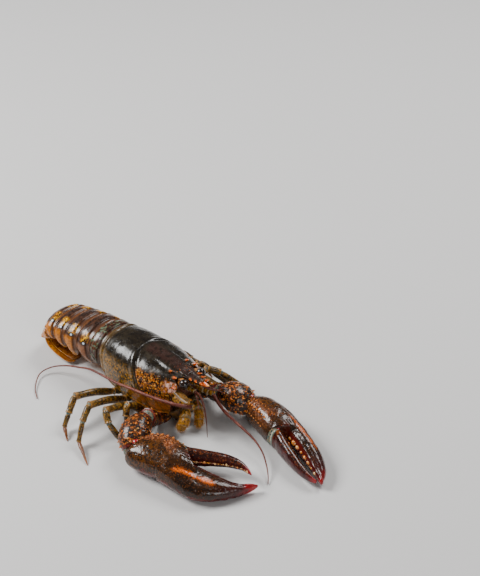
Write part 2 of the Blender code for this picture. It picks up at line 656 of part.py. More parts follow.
class ClawFrame:
    """Claw coordinates: u runs to the tips, v outward from the head and z up from the floor."""

    def __init__(self, side, wrist, heading):
        turn = radians(heading) * side
        self.side = side
        self.origin = Vector((wrist[0], wrist[1], 0))
        self.ahead = Vector((cos(turn), sin(turn), 0))
        self.outer = Vector((-sin(turn), cos(turn), 0)) * side

    def at(self, u, v, z):
        return self.origin + self.ahead * u + self.outer * v + UP * max(z, 0.0)

    def way(self, u, v, z):
        return self.ahead * u + self.outer * v + UP * z


def claw_ring(frame, u, inner, outer, low, high, lean=0.0, count=16, power=2.3):
    """Ring between two edges; lean slides its outer side ahead of its inner one."""
    middle = (inner + outer) / 2
    wide = (outer - inner) / 2
    tall = (high - low) / 2
    ring = []
    for i in range(count):
        a = 2 * pi * i / count
        c = cos(a)
        s = sin(a)
        v = middle + wide * abs(c) ** (2 / power) * (1 if c >= 0 else -1)
        z = (low + high) / 2 + tall * abs(s) ** (2 / power) * (1 if s >= 0 else -1)
        ring.append(frame.at(u + lean * (v - inner), v, z))
    return ring


# Each claw: palm and fixed finger as (u, inner edge, outer edge, low, high, lean), then the moving finger
CUTTER = {
    "palm": ((2, -2.6, 13.4, 4, 19, -0.62), (5, -7, 18, 1, 22.5, -0.42), (9, -9.8, 21, -0.6, 24.5, -0.2),
             (14, -11, 23, -0.8, 25, 0.0), (20, -10.4, 24.5, -0.6, 24.5, 0.35), (26, -8.2, 21, 0.5, 22, 0.85)),
    "finger": ((20, 5, 24.5, 0.4, 22), (33, 5.5, 28.8, -0.6, 20.5), (46, 7, 32.6, -0.6, 18),
               (57, 8.5, 31.6, -0.4, 15.5), (68, 10, 26.6, 0, 13), (78, 9.8, 19, 0.6, 10.5),
               (85, 7, 11.8, 1.5, 9), (89.5, 4.2, 5.8, 3.5, 6.5)),
    "dactyl": ((26, -7.6, 4.6, 3.0, 20.0, 0.85), (35, -8.4, 3.6, 4.0, 19.5, 0.4), (45, -9.2, 2.4, 5.0, 18.5, 0.1),
               (56, -10.2, 0.2, 6.0, 17.5, 0.0), (66, -10.0, -1.4, 7.0, 16.0, 0.0), (75, -7.0, -1.6, 8.0, 14.5, 0.0),
               (80.5, -3.2, 0.2, 9.0, 13.0, 0.0), (83.5, 0.2, 1.6, 10.0, 12.0, 0.0)),
    "teeth": 11, "tooth": 0.9, "tooth_rise": 1.1,
}
CRUSHER = {
    "palm": ((-5, -5.4, 6, 4, 20, 0.0), (0, -7.6, 10, 1.5, 23, 0.0), (8, -9.4, 14, -0.6, 25.5, 0.0),
             (17, -10.4, 15.8, -0.8, 26.5, 0.1), (25, -11.2, 16.2, -0.8, 25.5, 0.3), (30.5, -11.2, 12, 0.5, 23.5, 0.6)),
    "finger": ((20, 1.4, 15.8, 0.4, 24), (32, 1.6, 16.2, -0.6, 23), (43, 1.8, 15.6, -0.6, 21),
               (55, 1.0, 14.2, -0.4, 18.5), (65, -0.4, 12.6, 0, 15.5), (74, -2.2, 9.4, 0.8, 12.5),
               (81, -3.6, 4.6, 2, 10), (86, -4.4, -2.2, 4, 8)),
    "dactyl": ((30.5, -11, 0.6, 2, 21.5, 0.6), (38, -11.4, -0.6, 2, 20.5, 0.4), (47, -12.0, -2.8, 2, 18.5, 0.15),
               (58, -12.4, -4.2, 2.5, 16, 0.0), (68, -12.0, -5.6, 3, 13, 0.0), (77, -10.2, -6.6, 3.8, 10.5, 0.0),
               (83, -7.6, -6.0, 5, 8.5, 0.0)),
    "teeth": 6, "tooth": 1.7, "tooth_rise": 1.3,
}


def claw_teeth(frame, rows, plan, inward):
    """Row of teeth along the biting edge of a finger."""
    solids = []
    first = rows[2][0] - 3
    last = rows[-2][0]
    for i in range(plan["teeth"]):
        t = i / (plan["teeth"] - 1)
        u = first + (last - first) * t
        edges = keyed([row[:5] for row in rows], u)
        v = edges[0] if inward else edges[1]
        z = 0.5 * (edges[2] + edges[3])
        size = plan["tooth"] * (1.1 - 0.45 * t) * (0.85 + 0.3 * random.random())
        way = -1 if inward else 1
        if plan["tooth"] > 1.5:
            solids.append(knob(frame.at(u, v - way * 0.1 * size, z), size, (1.1, 0.9, 1.0)))
        else:
            rise = plan["tooth_rise"]
            solids.append(spine(frame.at(u, v, z), frame.way(0.15, way, 0), size, rise, sides=4))
    return solids


def make_claw(word, frame, plan):
    """Hand with its fixed finger in one piece, and the moving finger hinged at its inner front."""
    palm = loft([claw_ring(frame, *row) for row in plan["palm"]])
    finger = loft([claw_ring(frame, *row, count=14) for row in plan["finger"]])
    solids = [palm, finger] + claw_teeth(frame, plan["finger"], plan, True)
    # Blunt spines along the inner edge of the hand
    for step in range(6):
        u = plan["palm"][1][0] + 3.0 + 3.4 * step
        inner, _, low, high = keyed([row[:5] for row in plan["palm"]], u)
        z = low + 0.68 * (high - low)
        solids.append(spine(frame.at(u, inner + 0.9, z), frame.way(0.3, -0.8, 0.5), 1.5, 2.6))
    add_part(f"claw_{word}_palm", solids, SHELL_MOTTLED)
    rows = plan["dactyl"]
    hinge_lean = rows[0][5]
    step = JOINT_GAP * sqrt(1 + hinge_lean ** 2)
    palm_end = plan["palm"][-1]
    rise = hinge_lean * (rows[0][1] - palm_end[1])
    rings = [claw_ring(frame, palm_end[0] + step + rise, *rows[0][1:], count=12)]
    rings += [claw_ring(frame, *row, count=12) for row in rows[1:]]
    moving = [loft(rings)] + claw_teeth(frame, rows, plan, False)
    add_part(f"claw_{word}_dactyl", moving, CLAW_RED)


def make_arm(side, word, shoulder, elbow, bend, hand, hand_way):
    """Upper arm from the flank to the elbow, then the spiny wrist block up to the hand."""
    root, out = flank(side, ARM_ROOT)
    coxa = Vector((ARM_ROOT + 0.2 * (shoulder[0] - ARM_ROOT), side * 19.0, 5.0))
    shoulder = Vector(shoulder)
    elbow = Vector(elbow)
    bend = Vector(bend)
    hand = Vector(hand)
    hand_way = Vector(hand_way).normalized()
    upper_way = (elbow - shoulder).normalized()
    fold = (upper_way + (bend - elbow).normalized()).normalized()
    stations = [
        (root, 4.4, 4.4), (coxa, 4.4, 4.4), (shoulder, 5.2, 4.6), (shoulder.lerp(elbow, 0.4), 6.4, 5.6),
        (shoulder.lerp(elbow, 0.8), 7.6, 6.8), (elbow + upper_way, 7.2, 6.2)]
    arm = [tube(stations, UP, count=10, start=out)]
    level = upper_way.cross(UP).normalized()
    lift = level.cross(upper_way)
    for across in (-0.7, 0.7):
        way = level * across + lift * 0.7
        place = elbow - upper_way * 4.0 + level * across * 6.8 + lift * 0.7 * 7.6
        arm.append(spine(place - way * 0.8, way + upper_way * 0.5, 1.4, 3.2))
    arm = [trim(solid, elbow - fold * JOINT_GAP / 2, fold) for solid in arm]
    add_part(f"arm_{word}", arm, SHELL_MOTTLED)
    path = [elbow.lerp(bend, t).lerp(bend.lerp(hand, t), t) for t in (0.0, 0.22, 0.45, 0.7, 0.88, 1.0)]
    path[0] -= fold * 0.5
    path[-1] += hand_way * 0.5
    girth = ((7.4, 6.8), (9.4, 9.6), (10.8, 11.8), (10.6, 12.0), (9.2, 10.4), (8.0, 8.8))
    wrist = [tube([(p, tall, wide) for p, (tall, wide) in zip(path, girth)], UP, count=14, power=2.2)]
    for at in (1, 2, 3):
        way_on = (path[at + 1] - path[at - 1]).normalized()
        across = way_on.cross(UP).normalized()
        lift = across.cross(way_on)
        tall, wide = girth[at]
        for step in range(5):
            turn = radians(-72 + 36 * step + 9 * at)
            out_way = across * sin(turn) + lift * cos(turn)
            reach = 1 / sqrt((sin(turn) / wide) ** 2 + (cos(turn) / tall) ** 2)
            wrist.append(spine(path[at] + out_way * (reach - 0.5), out_way + way_on * 0.5, 1.5, 2.8))
    wrist = [trim(solid, elbow + fold * JOINT_GAP / 2, -fold) for solid in wrist]
    wrist = [trim(solid, hand - hand_way * JOINT_GAP, hand_way) for solid in wrist]
    add_part(f"wrist_{word}", wrist, SHELL_ORANGE)


ARM_ROOT = 25.0


def make_claws():
    frame = ClawFrame(RIGHT, (42.0, -54.5), -24.0)
    first = CUTTER["palm"][0]
    hand = frame.at(first[0] + first[5] * 8.0, first[1] + 8.0, 11.5)
    make_arm(RIGHT, "right", (26.0, -25.0, 8.5), (28.0, -37.0, 18.0), (29.0, -54.0, 17.0), hand,
             frame.way(1, -first[5], 0))
    make_claw("right", frame, CUTTER)
    frame = ClawFrame(LEFT, (74.0, 30.0), -11.0)
    make_arm(LEFT, "left", (32.0, 23.5, 8.5), (48.0, 21.0, 18.0), (59.0, 25.0, 20.0), frame.at(-5.0, 0.3, 12.0),
             frame.ahead)
    make_claw("left", frame, CRUSHER)


clear_scene()
random.seed(SEED)
PARTS = new_collection("american_lobster")
make_carapace()
make_breast()
make_tail()
make_fan()
make_head()
for leg_word, leg_number in LEGS:
    make_leg(leg_word, leg_number)
make_claws()
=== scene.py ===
from itertools import product
from math import cos, pi, radians, sin, sqrt
import bmesh
import bpy
import numpy as np
from mathutils import Matrix, Vector


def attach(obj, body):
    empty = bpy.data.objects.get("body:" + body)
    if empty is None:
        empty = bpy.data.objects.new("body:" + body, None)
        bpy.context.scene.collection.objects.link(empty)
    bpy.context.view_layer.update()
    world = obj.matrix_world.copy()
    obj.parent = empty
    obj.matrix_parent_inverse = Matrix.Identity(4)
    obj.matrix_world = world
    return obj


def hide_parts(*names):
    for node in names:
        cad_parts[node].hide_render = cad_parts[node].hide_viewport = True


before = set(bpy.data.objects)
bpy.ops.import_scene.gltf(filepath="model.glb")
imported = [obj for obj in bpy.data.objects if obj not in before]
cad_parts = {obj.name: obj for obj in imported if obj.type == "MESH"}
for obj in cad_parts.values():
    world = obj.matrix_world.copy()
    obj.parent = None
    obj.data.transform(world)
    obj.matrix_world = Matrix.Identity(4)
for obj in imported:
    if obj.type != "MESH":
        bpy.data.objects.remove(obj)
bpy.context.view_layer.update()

# Camera, soft studio light and a plain pale floor.
# The camera looks down at 37 degrees onto the animal's right side, as in the photograph.
# One wide softbox stands to the left of the view, with weaker ones above and to the right.
MM = 0.001
PHOTO_SIZE = (480, 576)
ORIGIN_PIXEL = (157, 395)
VIEW_HEADING = radians(43)
VIEW_DROP = radians(37)
VIEW_DISTANCE = 1.0
LENS = 80.625
SENSOR = 36.0
FLOOR_COLOUR = (0.62, 0.61, 0.6, 1)
SOFTBOXES = (
    ("key", (-0.62, -0.38, 0.70), 1.5, 0.6, 34.0),
    ("top", (0.05, 0.75, 0.95), 1.5, 0.65, 17.0),
    ("fill", (0.95, -0.35, 0.45), 1.6, 0.6, 7.0),
)

right = Vector((cos(VIEW_HEADING), sin(VIEW_HEADING), 0))
ahead = Vector((-sin(VIEW_HEADING) * cos(VIEW_DROP), cos(VIEW_HEADING) * cos(VIEW_DROP), -sin(VIEW_DROP)))
above = right.cross(ahead)
per_pixel = VIEW_DISTANCE * SENSOR / (LENS * PHOTO_SIZE[1])
across = (ORIGIN_PIXEL[0] - PHOTO_SIZE[0] / 2) * per_pixel
down = (ORIGIN_PIXEL[1] - PHOTO_SIZE[1] / 2) * per_pixel
camera = bpy.data.objects.new("camera", bpy.data.cameras.new("camera"))
camera.data.lens = LENS
camera.data.sensor_width = SENSOR
camera.matrix_world = Matrix.Translation(-ahead * VIEW_DISTANCE - right * across + above * down) @ Matrix(
    (right, above, -ahead)).transposed().to_4x4()
bpy.context.collection.objects.link(camera)
bpy.context.scene.camera = camera

for word, way, distance, width, power in SOFTBOXES:
    lamp = bpy.data.lights.new(word, "AREA")
    lamp.size = width
    lamp.energy = power
    box = bpy.data.objects.new(word, lamp)
    way = Vector(way).normalized()
    box.matrix_world = Matrix.Translation(way * distance) @ way.to_track_quat("Z", "Y").to_matrix().to_4x4()
    bpy.context.collection.objects.link(box)

world = bpy.data.worlds.new("studio")
world.use_nodes = True
world.node_tree.nodes["Background"].inputs["Color"].default_value = (0.96, 0.97, 1.0, 1)
rays = world.node_tree.nodes.new("ShaderNodeLightPath")
brighter = world.node_tree.nodes.new("ShaderNodeMapRange")
brighter.inputs["To Min"].default_value = 0.12
brighter.inputs["To Max"].default_value = 0.72
world.node_tree.links.new(rays.outputs["Is Camera Ray"], brighter.inputs["Value"])
world.node_tree.links.new(brighter.outputs["Result"], world.node_tree.nodes["Background"].inputs["Strength"])
bpy.context.scene.world = world

bpy.ops.mesh.primitive_circle_add(vertices=128, radius=1.4, fill_type="NGON")
floor = bpy.context.object
floor.name = "floor"
pale = bpy.data.materials.new("floor_pale")
pale.use_nodes = True
pale.node_tree.nodes["Principled BSDF"].inputs["Base Color"].default_value = FLOOR_COLOUR
pale.node_tree.nodes["Principled BSDF"].inputs["Roughness"].default_value = 0.75
floor.data.materials.append(pale)

# Carapace. The one hard shield over head and chest, of chitin and lime, ends in a spined beak.
# It is one skin of rings that sweep forward from ridge to margin, bent in at the neck groove,
# with thorns along the beak and behind the eyes, and fine granules where the photo shows them.
BODY = "root"
FLOOR_GAP = 0.05
RIGHT = -1
LEFT = 1
SIDES = ((RIGHT, "right"), (LEFT, "left"))
CARAPACE_REAR = -41.0
CARAPACE_FRONT = 37.0
SHELL_ROWS = (
    (-41, 19.5, 43.5, 19.0), (-34, 21.8, 45.2, 12.5), (-26, 23.3, 46.4, 10.0), (-10, 24.0, 47.0, 10.0),
    (6, 23.8, 47.0, 10.0), (16, 22.6, 46.6, 10.0), (26, 20.0, 45.8, 11.4), (33, 17.0, 45.0, 13.6),
    (42, 13.0, 44.0, 16.0),
)
RING_SWEEP = ((-41, -41), (-31, -21), (-20, 0), (-9, 16), (5, 24), (20, 29), (40, 36))
SHELL_MIDDLE = 0.42
MARGIN_TUCK = 0.96
NECK_GROOVE = -9.0
GROOVE_DEPTH = 1.5
ARCH_RISE = 34
ARCH_FALL = 14
BEAK_ROWS = (
    (20, 3.0, 44.8, 42.0), (30, 5.2, 45.2, 40.5), (37, 4.9, 44.9, 39.8), (44, 3.9, 44.2, 40.0),
    (50, 2.6, 43.6, 40.4), (54, 1.5, 43.4, 41.2), (57, 0.4, 43.6, 42.9),
)


def keyed(rows, t):
    """Smooth values at t through rows of (t, value, ...)."""
    rows = np.asarray(rows, dtype=float)
    ts = rows[:, 0]
    values = rows[:, 1:]
    t = min(max(t, ts[0]), ts[-1])
    i = int(min(max(np.searchsorted(ts, t) - 1, 0), len(ts) - 2))
    slopes = np.gradient(values, ts, axis=0)
    span = ts[i + 1] - ts[i]
    s = (t - ts[i]) / span
    start = (2 * s ** 3 - 3 * s ** 2 + 1) * values[i] + (s ** 3 - 2 * s ** 2 + s) * span * slopes[i]
    end = (3 * s ** 2 - 2 * s ** 3) * values[i + 1] + (s ** 3 - s ** 2) * span * slopes[i + 1]
    return start + end


def through(rings, count):
    """A fuller stack of rings, smooth through the given ones."""
    rings = np.asarray(rings, dtype=float)
    flat = rings.reshape(len(rings), -1)
    rows = np.column_stack((np.arange(len(rings)), flat))
    found = [keyed(rows, t) for t in np.linspace(0, len(rings) - 1, count)]
    return np.array(found).reshape((count,) + rings.shape[1:])


def rise_to(value, low, high):
    """0 below low, 1 above high and smooth between."""
    s = np.clip((np.asarray(value, dtype=float) - low) / (high - low), 0, 1)
    return s * s * (3 - 2 * s)


def bump(value, centre, width):
    """A rounded hump of height 1."""
    return np.exp(-((np.asarray(value, dtype=float) - centre) / width) ** 2)


def grain(points, size, seed=0):
    """Smooth random values from -1 to 1 whose lumps are about size apart."""
    spot = np.asarray(points, dtype=float) / size
    cell = np.floor(spot).astype(np.int64)
    part = spot - cell
    part = part * part * (3 - 2 * part)
    total = np.zeros(spot.shape[:-1])
    for corner in product((0, 1), repeat=3):
        at = cell + corner
        mixed = at[..., 0] * 73856093 ^ at[..., 1] * 19349663 ^ at[..., 2] * 83492791 ^ (seed + 1) * 83492791
        mixed = (mixed ^ (mixed >> 13)) * 1274126177 & 0x7FFFFFFF
        value = ((mixed ^ (mixed >> 16)) & 0xFFFF) / 32767.5 - 1
        weight = np.prod(np.where(corner, part, 1 - part), axis=-1)
        total += value * weight
    return total


def outward(grid, wrap=True):
    """Unit normals of a grid of points, pointing away from each ring's middle."""
    along = np.gradient(grid, axis=0)
    turn = (np.roll(grid, -1, 1) - np.roll(grid, 1, 1)) / 2 if wrap else np.gradient(grid, axis=1)
    normal = np.cross(along, turn)
    normal /= np.linalg.norm(normal, axis=2, keepdims=True) + 1e-9
    return normal * np.sign(((grid - grid.mean(axis=1, keepdims=True)) * normal).sum())


def circle(count):
    """Angles of a ring of points."""
    return np.linspace(0, 2 * pi, count, endpoint=False)


def rounded(turns, power=2.2):
    """Cosine and sine of a circle that is slightly squared."""
    c = np.cos(turns)
    s = np.sin(turns)
    return np.sign(c) * np.abs(c) ** (2 / power), np.sign(s) * np.abs(s) ** (2 / power)


class Skin:
    """One mesh put together from closed patches, in millimetres, with painted marks on its points."""

    def __init__(self):
        self.layers = {"place": [], "lie": [], "tone": []}
        self.faces = []
        self.slots = []
        self.count = 0

    def patch(self, grid, mark=0.0, tone=0.0, slot=0):
        """A tube-like skin of rings, each end closed round its middle point."""
        rows, cols = grid.shape[:2]
        near = np.arange(rows * cols).reshape(rows, cols) + self.count
        beside = np.roll(near, -1, axis=1)
        faces = np.stack((near[:-1], beside[:-1], beside[1:], near[1:]), axis=2).reshape(-1, 4).tolist()
        self.count += rows * cols
        for end in (0, -1):
            faces += [(a, b, self.count) for a, b in zip(near[end].tolist(), beside[end].tolist())]
            self.count += 1
        for word, values in (("place", grid), ("lie", mark), ("tone", tone)):
            full = np.broadcast_to(np.asarray(values, dtype=float), grid.shape)
            self.layers[word] += [full.reshape(-1, 3), full[[0, -1]].mean(axis=1)]
        self.faces += faces
        self.slots += [slot] * len(faces)

    def thorn(self, root, way, radius, length, bend=(0, 0, 0), slot=0, sides=10):
        """Curved spine with its root sunk in the shell."""
        way = np.asarray(Vector(way).normalized())
        side = np.asarray(Vector(way).orthogonal().normalized())
        turns = circle(sides)
        round_it = np.outer(np.cos(turns), side) + np.outer(np.sin(turns), np.cross(way, side))
        rings = []
        marks = []
        for t in (-0.4, 0.0, 0.15, 0.35, 0.55, 0.75, 0.9, 0.98):
            centre = np.asarray(root) + way * length * t + np.asarray(bend, dtype=float) * max(t, 0) ** 2
            wide = radius * (1.25 if t < 0 else (1 - t) ** 0.75 + 0.25 * (1 - t) ** 6 + 0.03)
            rings.append(centre + wide * round_it)
            marks.append([(0, 0, max(t, 0) ** 0.6)])
        self.patch(np.array(rings), marks, slot=slot)

    def lump(self, centre, sizes, slot=0, rows=9, cols=14):
        """Rounded knob, such as a molar tooth."""
        falls = np.linspace(0.02, pi - 0.02, rows)[:, None]
        turns = circle(cols)[None]
        ball = np.stack((np.sin(falls) * np.cos(turns), np.sin(falls) * np.sin(turns),
                         np.cos(falls) * np.ones_like(turns)), axis=2)
        self.patch(ball * sizes + np.asarray(centre), slot=slot)

    def mesh(self, name, materials):
        """The finished object, at the origin, with faces pointing out."""
        data = bpy.data.meshes.new(name)
        data.from_pydata(np.vstack(self.layers["place"]) * MM, [], self.faces)
        for word in ("lie", "tone"):
            layer = data.attributes.new(word, "FLOAT_VECTOR", "POINT")
            layer.data.foreach_set("vector", np.vstack(self.layers[word]).astype(np.float32).ravel())
        for material in materials:
            data.materials.append(material)
        data.polygons.foreach_set("material_index", self.slots)
        shape = bmesh.new()
        shape.from_mesh(data)
        bmesh.ops.recalc_face_normals(shape, faces=shape.faces[:])
        shape.to_mesh(data)
        shape.free()
        data.shade_smooth()
        data.set_sharp_from_angle(angle=radians(55))
        made = bpy.data.objects.new(name, data)
        bpy.context.collection.objects.link(made)
        return made


def finish_piece(piece, node, body=BODY):
    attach(piece, body)
    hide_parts(node)


def wire(tree, kind, inputs, **settings):
    """One shader or geometry node with its inputs set or linked."""
    made = tree.nodes.new(kind)
    for word, value in settings.items():
        setattr(made, word, value)
    for key, value in inputs.items():
        if isinstance(value, bpy.types.NodeSocket):
            tree.links.new(value, made.inputs[key])
        else:
            made.inputs[key].default_value = value
    return made


def mix(tree, factor, first, second):
    """Colour that goes from first to second as factor goes from 0 to 1."""
    both = {0: factor}
    for key, colour in ((6, first), (7, second)):
        both[key] = (*colour, 1) if isinstance(colour, tuple) and len(colour) == 3 else colour
    return wire(tree, "ShaderNodeMix", both, data_type="RGBA").outputs[2]


def sums(tree, how, first, second=0.0, third=0.0):
    """One step of arithmetic; only MULTIPLY_ADD reads the third value."""
    return wire(tree, "ShaderNodeMath", {0: first, 1: second, 2: third}, operation=how).outputs[0]


def band(tree, value, low, high, start=0.0, end=1.0):
    """start below low, end above high and smooth between."""
    return wire(tree, "ShaderNodeMapRange", {"Value": value, 1: low, 2: high, 3: start, 4: end},
                interpolation_type="SMOOTHSTEP").outputs[0]


def new_group(name, output, **values):
    """Empty shader group that reads a place and some plain values, with its two end nodes."""
    tree = bpy.data.node_groups.new(name, "ShaderNodeTree")
    tree.interface.new_socket("Vector", in_out="INPUT", socket_type="NodeSocketVector")
    for word, value in values.items():
        tree.interface.new_socket(word, in_out="INPUT", socket_type="NodeSocketFloat").default_value = value
    tree.interface.new_socket(output, in_out="OUTPUT", socket_type="NodeSocketFloat")
    return tree, tree.nodes.new("NodeGroupInput").outputs, tree.nodes.new("NodeGroupOutput").inputs


def make_mottle():
    """Cloudy patches: Size in millimetres, Level the noise value where they begin."""
    tree, given, put = new_group("mottle", "Mask", Size=3.0, Level=0.5, Edge=0.08)
    scale = sums(tree, "DIVIDE", 1000.0, given["Size"])
    noise = wire(tree, "ShaderNodeTexNoise", {
        "Vector": given["Vector"], "Scale": scale, "Detail": 4.0, "Roughness": 0.62,
        "Distortion": 0.3}).outputs[0]
    low = sums(tree, "SUBTRACT", given["Level"], given["Edge"])
    high = sums(tree, "ADD", given["Level"], given["Edge"])
    tree.links.new(band(tree, noise, low, high), put["Mask"])
    return tree


def make_speckle():
    """Round dots of unlike sizes: Size is their spacing in millimetres, Cover how large they grow."""
    tree, given, put = new_group("speckle", "Mask", Size=1.6, Cover=0.5)
    scale = sums(tree, "DIVIDE", 1000.0, given["Size"])
    push = wire(tree, "ShaderNodeTexNoise", {"Vector": given["Vector"], "Scale": sums(
        tree, "MULTIPLY", scale, 1.7), "Detail": 1.0}).outputs["Color"]
    push = wire(tree, "ShaderNodeVectorMath", {0: push, "Scale": 0.0005}, operation="SCALE").outputs[0]
    moved = wire(tree, "ShaderNodeVectorMath", {0: given["Vector"], 1: push}, operation="ADD").outputs[0]
    cells = wire(tree, "ShaderNodeTexVoronoi", {"Vector": moved, "Scale": scale})
    chance = wire(tree, "ShaderNodeSeparateColor", {"Color": cells.outputs["Color"]}).outputs[0]
    reach = sums(tree, "MULTIPLY", given["Cover"], sums(tree, "MULTIPLY_ADD", chance, 1.1, 0.5))
    inner = sums(tree, "MULTIPLY", reach, 0.7)
    tree.links.new(band(tree, cells.outputs["Distance"], inner, reach, 1.0, 0.0), put["Mask"])
    return tree


def make_pitting():
    """Height of a pored shell: fine pits, low pimples and a faint swell, from 0 to 1."""
    tree, given, put = new_group("pitting", "Height", Size=0.9, Pits=0.6)
    scale = sums(tree, "DIVIDE", 1000.0, given["Size"])
    cells = wire(tree, "ShaderNodeTexVoronoi", {"Vector": given["Vector"], "Scale": scale}).outputs["Distance"]
    pit = band(tree, cells, 0.05, 0.32)
    fine = wire(tree, "ShaderNodeTexNoise", {
        "Vector": given["Vector"], "Scale": sums(tree, "MULTIPLY", scale, 0.8), "Detail": 3.0}).outputs[0]
    height = sums(tree, "ADD", sums(tree, "MULTIPLY", pit, given["Pits"]), fine)
    tree.links.new(sums(tree, "MULTIPLY", height, 0.6), put["Height"])
    return tree


MOTTLE = make_mottle()
SPECKLE = make_speckle()
PITTING = make_pitting()


class Finish:
    """A material under way: its tree, the places it can read and its shader."""

    def __init__(self, name, roughness, coat, gloss=0.22):
        self.material = bpy.data.materials.new(name)
        self.material.use_nodes = True
        self.tree = self.material.node_tree
        self.shader = self.tree.nodes["Principled BSDF"]
        self.shader.inputs["Roughness"].default_value = roughness
        self.shader.inputs["Coat Weight"].default_value = coat
        self.shader.inputs["Coat Roughness"].default_value = 0.18
        self.shader.inputs["Specular IOR Level"].default_value = gloss
        self.place = wire(self.tree, "ShaderNodeTexCoord", {}).outputs["Object"]
        self.lie = self.painted("lie")
        self.tone = self.painted("tone")

    def painted(self, word):
        """The three values that a skin has painted on its points under this word."""
        found = wire(self.tree, "ShaderNodeAttribute", {}, attribute_name=word).outputs["Vector"]
        return wire(self.tree, "ShaderNodeSeparateXYZ", {0: found}).outputs[:]

    def effect(self, group, **values):
        """One copy of a shared effect, with its own values."""
        return wire(self.tree, "ShaderNodeGroup", {"Vector": self.place, **values}, node_tree=group).outputs[0]

    def mottle(self, size, level, edge=0.08):
        return self.effect(MOTTLE, Size=size, Level=level, Edge=edge)

    def dots(self, size, cover):
        return self.effect(SPECKLE, Size=size, Cover=cover)

    def mul(self, first, second):
        return sums(self.tree, "MULTIPLY", first, second)

    def paint(self, colour, layers):
        """Base colour: each layer is a mask and the colour it brings."""
        for mask, layer in layers:
            colour = mix(self.tree, mask, colour, layer)
        self.tree.links.new(colour, self.shader.inputs["Base Color"])
        return self

    def relief(self, size, pits, height, strength=1.0):
        """Bump from the pored surface; height is in millimetres."""
        found = self.effect(PITTING, Size=size, Pits=pits)
        raised = wire(self.tree, "ShaderNodeBump", {
            "Strength": strength, "Distance": height * MM, "Height": found})
        self.tree.links.new(raised.outputs["Normal"], self.shader.inputs["Normal"])
        return self

    def uneven_gloss(self, size, low, high):
        """Roughness that drifts between low and high, as where the wet film has dried."""
        found = wire(self.tree, "ShaderNodeTexNoise", {
            "Vector": self.place, "Scale": 1000.0 / size, "Detail": 3.0}).outputs[0]
        self.tree.links.new(band(self.tree, found, 0.35, 0.65, low, high), self.shader.inputs["Roughness"])
        return self


def geometry_tree(name, words):
    """Empty geometry tree with its named sockets, and its two end nodes."""
    kinds = {"Geometry": "Geometry", "Lean": "Vector", "Seed": "Int", "Count": "Int", "Material": "Material"}
    tree = bpy.data.node_groups.new(name, "GeometryNodeTree")
    for word in ("Geometry", *words, "Material"):
        tree.interface.new_socket(word, in_out="INPUT", socket_type="NodeSocket" + kinds.get(word, "Float"))
    tree.interface.new_socket("Geometry", in_out="OUTPUT", socket_type="NodeSocketGeometry")
    return tree, tree.nodes.new("NodeGroupInput").outputs, tree.nodes.new("NodeGroupOutput").inputs


def growth_tree(name, words, shape):
    """Geometry tree that sets small forms of random size on a skin wherever its rough mark is above zero."""
    tree, given, put = geometry_tree(name, ("Density", *words, "Seed"))
    rough = wire(tree, "GeometryNodeInputNamedAttribute", {"Name": "rough"}, data_type="FLOAT").outputs[0]
    spread = wire(tree, "GeometryNodeDistributePointsOnFaces", {
        "Mesh": given["Geometry"], "Density": sums(tree, "MULTIPLY", given["Density"], rough),
        "Seed": given["Seed"]}).outputs
    size = wire(tree, "FunctionNodeRandomValue", {
        2: given[words[0]], 3: given[words[1]], "Seed": given["Seed"]}, data_type="FLOAT").outputs[1]
    form, turned, scale = shape(tree, given, spread, size)
    placed = wire(tree, "GeometryNodeInstanceOnPoints", {
        "Points": spread["Points"], "Instance": form, "Rotation": turned, "Scale": scale})
    real = wire(tree, "GeometryNodeRealizeInstances", {0: placed.outputs[0]})
    dressed = wire(tree, "GeometryNodeSetMaterial", {"Geometry": real.outputs[0], "Material": given["Material"]})
    whole = wire(tree, "GeometryNodeJoinGeometry", {0: given["Geometry"]})
    tree.links.new(dressed.outputs[0], whole.inputs[0])
    tree.links.new(whole.outputs[0], put["Geometry"])
    return tree


def granule_form(tree, given, spread, size):
    """A low smooth ball that lies flat on the skin."""
    ball = wire(tree, "GeometryNodeMeshUVSphere", {"Segments": 8, "Rings": 5, "Radius": 1.0}).outputs[0]
    smooth = wire(tree, "GeometryNodeSetShadeSmooth", {"Geometry": ball}).outputs[0]
    low = sums(tree, "MULTIPLY", size, given["Height"])
    return smooth, spread["Rotation"], wire(tree, "ShaderNodeCombineXYZ", {0: size, 1: size, 2: low}).outputs[0]


def baked(piece):
    """The piece with its modifiers worked into a plain mesh."""
    bpy.context.view_layer.update()
    seen = piece.evaluated_get(bpy.context.evaluated_depsgraph_get())
    plain = bpy.data.meshes.new_from_object(seen)
    piece.modifiers.clear()
    piece.data = plain
    return piece


def grown(piece, group, values):
    """Runs a geometry tree on a piece and keeps the result as its plain mesh."""
    modifier = piece.modifiers.new(group.name, "NODES")
    modifier.node_group = group
    for item in group.interface.items_tree:
        if item.in_out == "INPUT" and item.name in values:
            modifier[item.identifier] = values[item.name]
    points = baked(piece).data.vertices
    # Hairs and granules that would reach through the floor are pressed flat on it
    places = np.zeros(len(points) * 3)
    points.foreach_get("co", places)
    places[2::3] = np.maximum(places[2::3], 0)
    points.foreach_set("co", places)
    return piece


def set_rough(piece, values):
    """Marks how thickly granules or bristles grow at each point of a skin."""
    layer = piece.data.attributes.new("rough", "FLOAT", "POINT")
    full = np.zeros(len(piece.data.vertices), np.float32)
    full[:len(values)] = values
    layer.data.foreach_set("value", full)


def granulate(piece, rough, density, small, large, height, seed):
    """Sets orange granules on a piece, from small to large in millimetres and flattened by height."""
    set_rough(piece, rough)
    return grown(piece, GRANULES, {
        "Density": density, "Small": small * MM, "Large": large * MM, "Height": height, "Seed": seed,
        "Material": GRANULE})


GRANULES = growth_tree("granules", ("Small", "Large", "Height"), granule_form)


